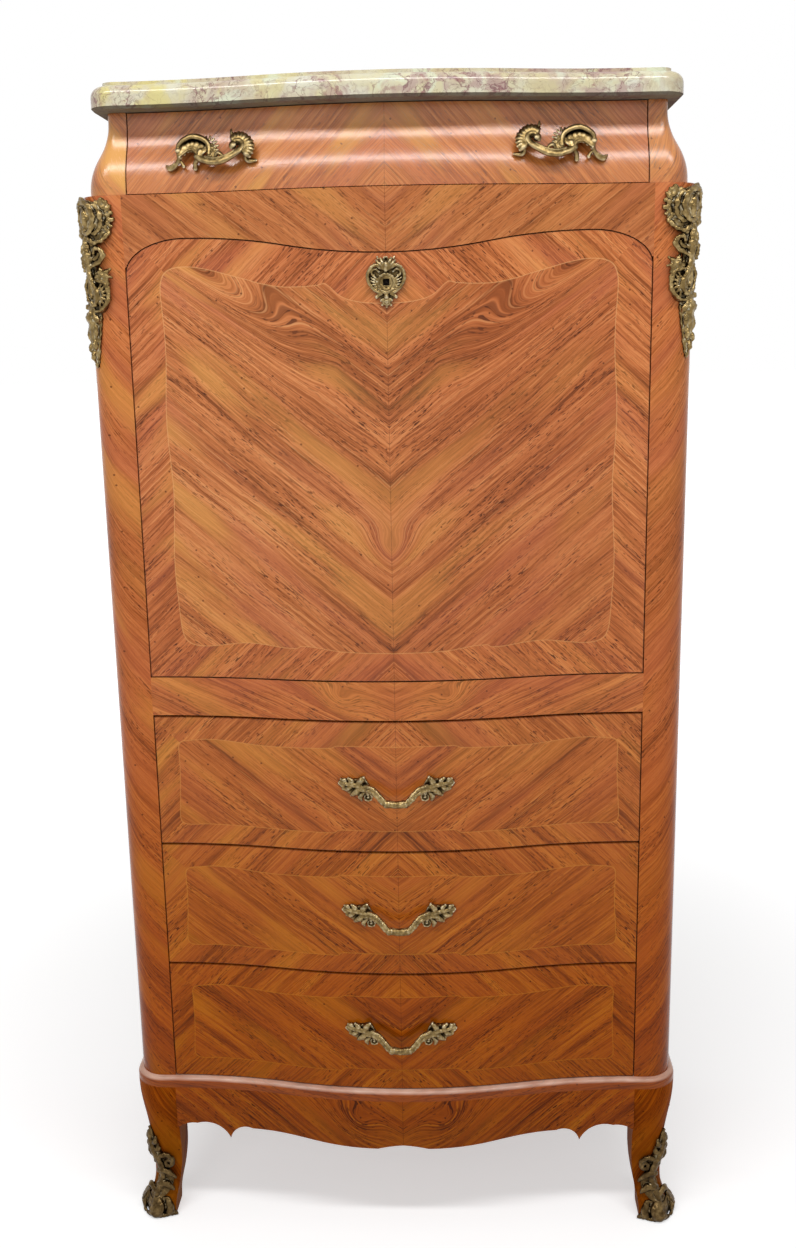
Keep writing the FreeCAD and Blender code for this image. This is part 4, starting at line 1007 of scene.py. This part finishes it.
def escutcheon_casting():
    """A pierced keyhole plate: a palmette over two scrolls and a hanging flower."""
    cast = Casting()
    wing = ((19, 10), (9, 16), (4.4, 13), (4.4, 4), (4.4, -4), (6, -9), (12, -9), (18, -3))
    for outline in (wing, mirrored(wing)):
        cast.plate(outline, -0.4, 2.0)
    cast.plate(((-9, 15), (-8, 23), (0, 26), (8, 23), (9, 15), (4, 5), (-4, 5)), -0.4, 2.0)
    cast.plate(((-6, -5.2), (6, -5.2), (9, -13), (4, -23), (-4, -23), (-9, -13)), -0.4, 2.0)
    # Palmette
    for across, up in ((-13, 19.5), (-10, 22.8), (-5.8, 25.4), (5.8, 25.4), (10, 22.8), (13, 19.5)):
        cast.stroke((across * 0.2, 13 + (up - 13) * 0.15, 4.6, 1.7),
                    (across * 0.65, 13 + (up - 13) * 0.62, 5.4, 2.2), (across, up, 3.2, 1.6))
    cast.stroke((0, 13, 5, 2.4), (0, 18, 6, 2.6), (0, 22, 4.6, 1.6))
    cast.ring(0, 24.4, 3.6, 2.3, 1.2)
    cast.pair((8.5, 25, 2.6, 1.2), (9.5, 27.4, 2.4, 0.9))
    # Side scrolls, each rolled into an eye, with gadroons inside
    cast.pair((3, 14.5, 4.6, 1.6), (9, 18, 5.4, 1.9), (15.5, 16.6, 5.6, 2.1), (20, 10, 5.2, 2.1),
              (20.3, 3, 4.8, 2), (17, -4, 4.6, 1.9), (11.5, -9.5, 4.6, 1.8), (5, -12.4, 4.2, 1.6))
    cast.pair((8, 11.5, 4, 1.3), (11.5, 14, 4.6, 1.5), (15.6, 12.6, 4.6, 1.5), (16, 8.8, 4.2, 1.3),
              (13, 7.4, 3.8, 1.1))
    for angle in range(-48, 36, 12):
        turn = math.radians(angle)
        cast.pair((10.4 * math.cos(turn), -1 + 10.4 * math.sin(turn), 3.6, 1.0),
                  (14.2 * math.cos(turn), 0.2 + 13.4 * math.sin(turn), 4.6, 1.15),
                  (17.6 * math.cos(turn), 1.4 + 16 * math.sin(turn), 3.6, 0.9))
    # Dished boss with a square hole
    cast.ring(0, -0.6, 3.4, 9.2, 1.9)
    cast.ring(0, -0.6, 2.2, 6.8, 1.7)
    for across in (-4.3, 4.3):
        cast.stroke((across, -4.4, 2.6, 1.0), (across, 4.2, 2.6, 1.0))
    for up in (-4.5, 4.3):
        cast.stroke((-4.3, up, 2.6, 1.0), (4.3, up, 2.6, 1.0))
    cast.stroke((-8, -7.6, 4.4, 1.3), (0, -11.4, 5.2, 2.2), (8, -7.6, 4.4, 1.3))
    # Hanging flower
    cast.stroke((0, -12, 4, 2.6), (0, -16.5, 5.2, 2.8))
    cast.bead(0, -21, 4.2, 3.0)
    cast.ring(0, -21, 4.4, 3.6, 1.0)
    cast.stroke((0, -24, 3.2, 2.0), (0, -26.6, 2.8, 1.4))
    cast.pair((3, -18.6, 3.4, 1.8), (5.6, -19.6, 3.2, 1.8))
    cast.pair((2.4, -22.6, 3.2, 1.7), (4.8, -24.6, 3, 1.6))
    cast.pair((5, -12.6, 3.4, 1.8), (8, -14, 3.4, 1.7), (10.8, -16, 3.4, 2.1))
    return cast.melted(voxel=0.28, ragged=0.3)


def keyhole_casting():
    """A plate with its pin in the escutcheon's square hole, made near black: painted shade inside the hole.
    """
    cast = Casting()
    cast.plate(((-4.6, -4.8), (4.6, -4.8), (4.6, 4.6), (-4.6, 4.6)), -0.2, 0.5)
    cast.stroke((0, -0.4, 0.4, 1.1), (0, -0.4, 2.0, 1.0))
    return cast.melted(voxel=0.25)


def drawer_handle_casting():
    """A grip on two goose necks that grow out of leaves."""
    cast = Casting()
    ground = ((31, -3), (40, -5), (49, -7), (57, -6), (66, 1), (71, 7), (65, 12), (54, 12), (45, 13),
              (39, 14), (34, 6))
    for outline in (ground, mirrored(ground)):
        cast.plate(outline, -0.4, 4.4)
    # Leaves
    cast.pair((30, 1, 5, 2.6), (40, 3, 6.4, 3.2), (52, 5.5, 6.4, 3.3), (62, 7, 5, 2.6), (70, 7.8, 2.8, 1.1))
    cast.pair((46, 4, 4.5, 3.4), (44, 10, 6.2, 4.4), (40, 15, 6, 2.6))
    cast.pair((54, 6, 4.6, 3.4), (54.6, 10.6, 5.6, 3.8), (57.6, 13, 4.8, 2.2))
    cast.pair((61.5, 7.5, 4.2, 2.8), (63.4, 10.8, 4.4, 3.0), (67, 12, 3.6, 1.7))
    cast.pair((45, 2, 4.8, 3.4), (49.5, -3.6, 5.6, 4.4), (54.6, -7.6, 4.2, 2.4))
    cast.pair((54, 4, 4.2, 3.2), (59.5, 0.2, 4.8, 3.6), (65, -0.2, 3.4, 1.9))
    # Screws in their cups, each with a small curl under it
    for side in (-1, 1):
        cast.plate([(side * 34.6 + 5.4 * math.cos(t), -11 + 5.4 * math.sin(t)) for t in
                    [math.pi * i / 4 for i in range(8)]], -0.4, 1.3)
        cast.ring(side * 34.6, -11, 2.1, 4.6, 1.1)
        cast.bead(side * 34.6, -11, 1.6, 2.2, 0.8)
    cast.pair((36, -4, 3, 2.8), (35, -7, 2.6, 2.4))
    cast.pair((40, -4, 3.4, 2.6), (44, -9, 4.6, 3.2), (42.4, -15, 3.4, 1.6))
    # Goose necks, each of two ridges
    cast.pair((46, 2, 6, 2.6), (37, 4.4, 8.4, 2.8), (28, 3, 13, 2.8), (20, -3.2, 18.2, 2.8),
              (13.5, -9.6, 21.2, 2.7), (10, -11.4, 21.4, 2.6))
    cast.pair((45, -1, 6, 2.3), (36, 0, 9.8, 2.5), (27.5, -2, 15, 2.5), (19.5, -8.4, 20, 2.5),
              (13.5, -14, 22.2, 2.4), (10, -15, 22, 2.4))
    # Grip with collars
    cast.stroke((-10, -13, 21.4, 4.4), (0, -13.6, 21.6, 4.7), (10, -13, 21.4, 4.4))
    for across in (-11, -8.6, 8.6, 11):
        cast.stroke((across - 0.4, -13, 21.2, 5.0), (across + 0.4, -13, 21.2, 5.0))
    return cast.melted(voxel=0.4, ragged=0.4)


def top_handle_casting():
    """A long scrolled pull: a shell, a swept bar and a curled leaf. Negative is the outer end."""
    cast = Casting()
    # Outer foot
    cast.stroke((-52, -14, 2, 1), (-47.4, -18, 3.4, 3.1), (-41.6, -15.9, 5, 3.2), (-36.8, -10, 8, 2.6),
                (-36, -5, 11, 2.2), (-36.8, 0, 13, 2.6))
    cast.stroke((-50.5, -14.4, 4.4, 0.9), (-46.5, -15.6, 6.2, 1.3), (-41, -13, 8, 1.2))
    cast.stroke((-36, -9, 8, 1.9), (-33, -12, 7, 1.8), (-30.6, -16, 6, 2.3))
    cast.bead(-36.6, 1.4, 14, 3.7)
    cast.ring(-36.6, 1.4, 16, 2.2, 0.9)
    # Shell: a rolled rim over a smooth bowl
    cast.stroke((-36.6, 3, 14, 2.2), (-36, 7, 15.4, 2.7), (-30.8, 12, 17, 3), (-21, 15.8, 18, 3.2),
                (-11, 14, 18, 3.2), (-3, 8.9, 17, 3), (-0.6, 1.5, 15.4, 2.7), (-1, -5, 14, 2.4))
    arch = ((-34.5, -6), (-30, -2), (-25.5, 1), (-21.5, 1.8), (-18, 0.6), (-15.5, -2.5), (-14.5, -6.5))
    crown = ((-35, 6), (-30, 10.5), (-25, 13), (-20, 14), (-14, 13.5), (-7.5, 10), (-3.5, 4))
    for (a, u), (b, v) in zip(arch, crown):
        cast.stroke((a, u, 12, 3.2), ((a + b) / 2, (u + v) / 2, 13.6, 4.2), (b, v, 12, 4.0), flat=0.6)
    cast.stroke(*[(a, u, 13.8, 1.5) for a, u in arch])
    # Inner foot, and the knuckle where it meets the bar
    cast.stroke((-11, 0, 13, 4), (-13.4, -8, 11, 3.6), (-17, -13, 7, 2.8), (-17.6, -18.6, 3.4, 3))
    cast.stroke((-15, -6, 12.4, 3.6), (-9, -9.6, 13.2, 4), (-3, -11.6, 14, 4))
    # Reeded scroll
    for inset in range(3):
        size = 7.4 - 2.3 * inset
        turns = [math.radians(angle) for angle in range(130, -170, -50)]
        cast.stroke(*[(0.6 + size * math.cos(t), -3 + size * 1.3 * math.sin(t), 14.4 + inset * 0.8, 1.5)
                      for t in turns])
    for i in range(8):
        turn = math.radians(96 - 21 * i)
        cast.stroke((-3 + 9 * math.cos(turn), 2 + 10 * math.sin(turn), 15.6, 1.5),
                    (-3 + 12.4 * math.cos(turn), 2 + 13 * math.sin(turn), 14.6, 1.5))
    # Bar, swept up into a spiral with a button
    cast.stroke((-9, -9.5, 13, 3.4), (2, -13.2, 14.5, 4.1), (14.6, -12.2, 16, 4.6), (25.4, -7.4, 16.5, 4.4),
                (33.7, -2.2, 16, 3.8), (37.6, 4, 15.5, 3.2), (35.2, 9, 15, 2.8), (29.5, 10, 15, 2.5),
                (24.5, 6, 15, 2.3), (25, 1.8, 15, 2.2), (29, 2, 14.5, 1.7))
    cast.stroke((-5, -7, 16, 1), (6, -9.6, 18.8, 1.3), (18, -7.6, 20, 1.3), (28, -2.6, 19.2, 1.1))
    cast.stroke((7, -8.6, 16.6, 1.4), (10.2, -3.8, 18.8, 2.7), (15.4, -6.6, 19.4, 1.5))
    cast.bead(26.8, 5, 16, 4.2, 0.7)
    # Fan leaf round the spiral, with its upright tip
    tips = ((24.6, 14.7), (28.4, 17), (32.6, 17.6), (36.8, 17), (40.7, 15), (44.4, 12), (47.2, 8.2),
            (48.7, 4), (48.8, -0.4), (47.6, -4.6), (45.4, -8.4))
    for across, up in tips:
        cast.stroke((31 + (across - 31) * 0.3, 4 + (up - 4) * 0.3, 12, 3.4),
                    (31 + (across - 31) * 0.72, 4 + (up - 4) * 0.72, 13.6, 3.6), (across, up, 11.6, 2.6))
    cast.stroke((25.5, 15, 12, 2), (24, 19, 11.5, 1.7), (23.6, 22.6, 10, 1.1))
    # Inner end's foot
    cast.stroke((42, -3, 12, 3), (41, -8.6, 8, 2.6), (44, -12.6, 4.4, 3.2), (52, -12.4, 2.4, 1.7))
    return cast.melted(voxel=0.4)


def sabot_casting():
    """A foot mount: a rolled shoe, and leaves that wind up to the outer edge. Negative is the front side."""
    cast = Casting()
    shoe = ((-33, 0.5), (-33, 10), (-29, 20), (-20, 26), (-6, 23))
    cast.plate(shoe + tuple(reversed(mirrored(shoe))), -0.4, 2.8)
    # Toe: smooth lobes over a rolled lip
    cast.stroke((13, 25, 3, 3.6), (16, 15, 5.4, 8), (15, 7, 5.6, 7.4), flat=0.8)
    cast.stroke((-7, 26, 2.6, 4), (-12, 16, 5, 9), (-11, 8, 5.4, 9), flat=0.8)
    cast.stroke((-23, 22, 2, 3.6), (-27, 13, 2.8, 6), (-27, 7, 2.8, 6), flat=0.8)
    cast.stroke((-31, 3.4, 3, 2.4), (-14, 2.6, 7.4, 2.6), (1, 3.4, 6.4, 2.2))
    cast.stroke((5, 3.4, 6.4, 2.2), (17, 2.6, 7.4, 2.6), (30, 3.4, 3, 2.4))
    cast.stroke((27, 20, 2, 2.4), (28, 12, 2.8, 4.6), (28.5, 6, 2.8, 4.8), flat=0.8)
    cast.stroke((21, 23, 3.0, 5.0), (22, 13, 5.4, 7.0), (22, 6, 5.4, 6.0))
    for across in (10, 15, 20):
        cast.stroke((across, 22, 6.4, 1.0), (across * 1.04, 15, 9.6, 1.4), (across * 1.04, 9, 9.6, 1.1))
    # Winding stem and its leaves
    cast.plate(((4, 126), (-4, 114), (-8, 98), (-14, 88), (-24, 84), (-26, 72), (-18, 64), (-24, 54),
                (-23, 38), (-14, 26), (2, 26), (-2, 42), (-5, 58), (-2, 74), (3, 90), (7, 110)), -0.4, 3.4)
    cast.stroke((4, 125, 1.6, 1.4), (2, 112, 4, 3.8), (-1, 98, 5, 4.2), (-6, 86, 5.4, 4),
                (-10, 72, 5.4, 3.6), (-11, 58, 5, 3.2), (-9, 44, 5, 3.2), (-7, 30, 4.6, 3.2))
    for height, reach in ((106, 6.5), (95, 8), (84, 8)):
        cast.stroke((1, height, 4, 2.4), (reach * 0.8, height + 5, 5, 3.2), (reach, height + 12, 3.4, 1.4))
        cast.stroke((-2, height - 3, 4, 2.4), (-reach, height + 2, 5, 3.2),
                    (-reach * 1.15, height + 9, 3.4, 1.4))
    cast.stroke((-4, 78, 5, 2.8), (-11, 88, 5.6, 3.4), (-19, 89, 5.8, 3.6), (-25, 82, 5.8, 3.4),
                (-23, 74, 5.8, 3.2), (-17, 73, 5.8, 2.8), (-16, 79, 5.6, 2.4))
    cast.bead(-20, 81, 4.8, 3.6)
    cast.stroke((-7, 64, 4.8, 3.4), (-15, 65, 6, 4.8), (-23, 58.5, 5.4, 3.2), (-27, 53, 3.6, 1.6))
    cast.stroke((-7, 45, 4.8, 3.4), (-15, 46, 6, 4.8), (-23, 41, 5.4, 3.2), (-27, 36.5, 3.6, 1.6))
    cast.stroke((-6, 34, 4.6, 2.8), (2, 39, 5.4, 3.4), (9, 36, 5, 2.8), (13, 29, 4, 2))
    return cast.melted(voxel=0.42, ragged=0.6)


def middle_height(node):
    low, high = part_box(node)
    return (low.z + high.z) / 2 / MM


def add_mounts(gilding, foot_gilding, keyhole_shade_material):
    chute = chute_casting()
    sabot = sabot_casting()
    for name, side in (("left", -1.0), ("right", 1.0)):
        add_mount(f"chute_{name}_cast", chute, [(stile_seat(SHOULDER - CHUTE_DROP, side), side > 0)],
                  "carcass", f"chute_{name}", gilding)
        add_mount(f"sabot_{name}_cast", sabot, [(leg_seat(side), side > 0)], "carcass", f"sabot_{name}",
                  foot_gilding)
    handle = drawer_handle_casting()
    for number in DRAWERS:
        seat = front_seat(0.0, middle_height(f"drawer_{number}_front"))
        add_mount(f"drawer_{number}_handle_cast", handle, [(seat, False)], f"drawer_{number}",
                  f"drawer_{number}_handle", gilding)
    height = SHOULDER + TOP_HANDLE_SHARE * FRIEZE_HEIGHT
    seats = [(frieze_seat(-TOP_HANDLE_PLACE, height, 1.0), False),
             (frieze_seat(TOP_HANDLE_PLACE, height, -1.0), True)]
    add_mount("top_drawer_handles_cast", top_handle_casting(), seats, "top_drawer", "top_drawer_handles",
              gilding)
    keyhole = front_seat(0.0, middle_height("fall_escutcheon"))
    add_mount("fall_escutcheon_cast", escutcheon_casting(), [(keyhole, False)], "fall", "fall_escutcheon",
              gilding)
    # A near black plate in the escutcheon's hole: painted shade
    add_mount("keyhole_plate", keyhole_casting(), [(keyhole, False)], "fall", None, keyhole_shade_material, faces=2000)


# Camera, light and floor

WORLD_LIGHT = 0.36  # what the world gives to matt surfaces
OVERHEAD = {"place": (0.0, -1.27, 2.71), "aim": (0.0, -0.1, 1.3), "width": 3.2, "height": 0.2,
            "power": 37.0}
FRONT = {"place": (-0.6, -3.4, 1.9), "aim": (0.0, -0.15, 1.0), "width": 3.0, "height": 2.0, "power": 31.0}
FLOOR_HALF = 30.0
GLOW_NEAR = 400.0  # the floor turns white between these distances, in millimetres
GLOW_FAR = 2600.0
GLOW_LEAST = 0.45


def add_camera():
    pitch, yaw, roll = (math.radians(angle) for angle in (CAMERA_PITCH, CAMERA_YAW, CAMERA_ROLL))
    forward = Vector((math.sin(yaw) * math.cos(pitch), math.cos(yaw) * math.cos(pitch), -math.sin(pitch)))
    level = Vector((math.cos(yaw), -math.sin(yaw), 0.0))
    over = level.cross(forward)
    right = level * math.cos(roll) + over * math.sin(roll)
    up = over * math.cos(roll) - level * math.sin(roll)
    data = bpy.data.cameras.new("camera")
    data.lens = CAMERA_LENS
    data.sensor_width = CAMERA_SENSOR
    camera = bpy.data.objects.new("camera", data)
    facing = Matrix((right, up, -forward)).transposed().to_4x4()
    camera.matrix_world = Matrix.Translation(CAMERA_PLACE) @ facing
    bpy.context.scene.collection.objects.link(camera)
    bpy.context.scene.camera = camera


def add_softbox(name, place, aim, width, height, power, shown=True):
    data = bpy.data.lights.new(name, "AREA")
    data.shape = "RECTANGLE"
    data.size = width
    data.size_y = height
    data.energy = power
    light = bpy.data.objects.new(name, data)
    light.visible_glossy = shown
    light.location = place
    light.rotation_mode = "QUATERNION"
    light.rotation_quaternion = (Vector(aim) - Vector(place)).to_track_quat("-Z", "Y")
    bpy.context.scene.collection.objects.link(light)


def shown_rays(shader):
    """1 for rays that show the background: straight, reflected or through glass."""
    rays = shader.node("ShaderNodeLightPath").outputs
    seen = shader.math("MAXIMUM", rays["Is Camera Ray"], rays["Is Glossy Ray"])
    return shader.math("MAXIMUM", seen, rays["Is Transmission Ray"])


def add_world():
    shader = Shader("studio", world=True)
    inputs = {"Value": shown_rays(shader), "To Min": WORLD_LIGHT, "To Max": 1.0}
    strength = shader.node("ShaderNodeMapRange", inputs).outputs[0]
    inputs = {"Color": (1.0, 1.0, 1.0, 1.0), "Strength": strength}
    background = shader.node("ShaderNodeBackground", inputs).outputs[0]
    shader.node("ShaderNodeOutputWorld", {"Surface": background})
    bpy.context.scene.world = shader.owner


def add_floor():
    shader = Shader("floor")
    x, y, z = shader.places()
    cloud = shader.noise(shader.vector(x, y, z), scale=1 / 900.0, detail=2)
    colour = shader.ramp(cloud, ((0.3, (0.8, 0.8, 0.8, 1.0)), (0.7, (0.83, 0.83, 0.83, 1.0))))
    matt = shader.node("ShaderNodeBsdfDiffuse", {"Color": colour}).outputs[0]
    reach = shader.math("SQRT", shader.weighed((shader.times(x, x), 1.0), (shader.times(y, y), 1.0)))
    glow = shader.lift(shader.step(reach, GLOW_NEAR, GLOW_FAR), 1.0 - GLOW_LEAST, GLOW_LEAST)
    inputs = {"Strength": shader.times(shown_rays(shader), glow)}
    shine = shader.node("ShaderNodeEmission", inputs).outputs[0]
    shader.surface = shader.node("ShaderNodeAddShader", {0: matt, 1: shine}).outputs[0]
    half = FLOOR_HALF
    mesh = bpy.data.meshes.new("floor")
    mesh.from_pydata([(-half, -half, 0), (half, -half, 0), (half, half, 0), (-half, half, 0)], [],
                     [(0, 1, 2, 3)])
    mesh.materials.append(shader.done())
    floor = bpy.data.objects.new("floor", mesh)
    bpy.context.scene.collection.objects.link(floor)


def add_lights():
    add_world()
    add_softbox("overhead", **OVERHEAD)
    add_softbox("front", **FRONT, shown=False)


add_camera()
add_lights()
add_floor()
dress_panels()
dress_frame()
dress_inside()
dress_stone_and_metal()

scene = bpy.context.scene
scene.view_settings.view_transform = "Standard"
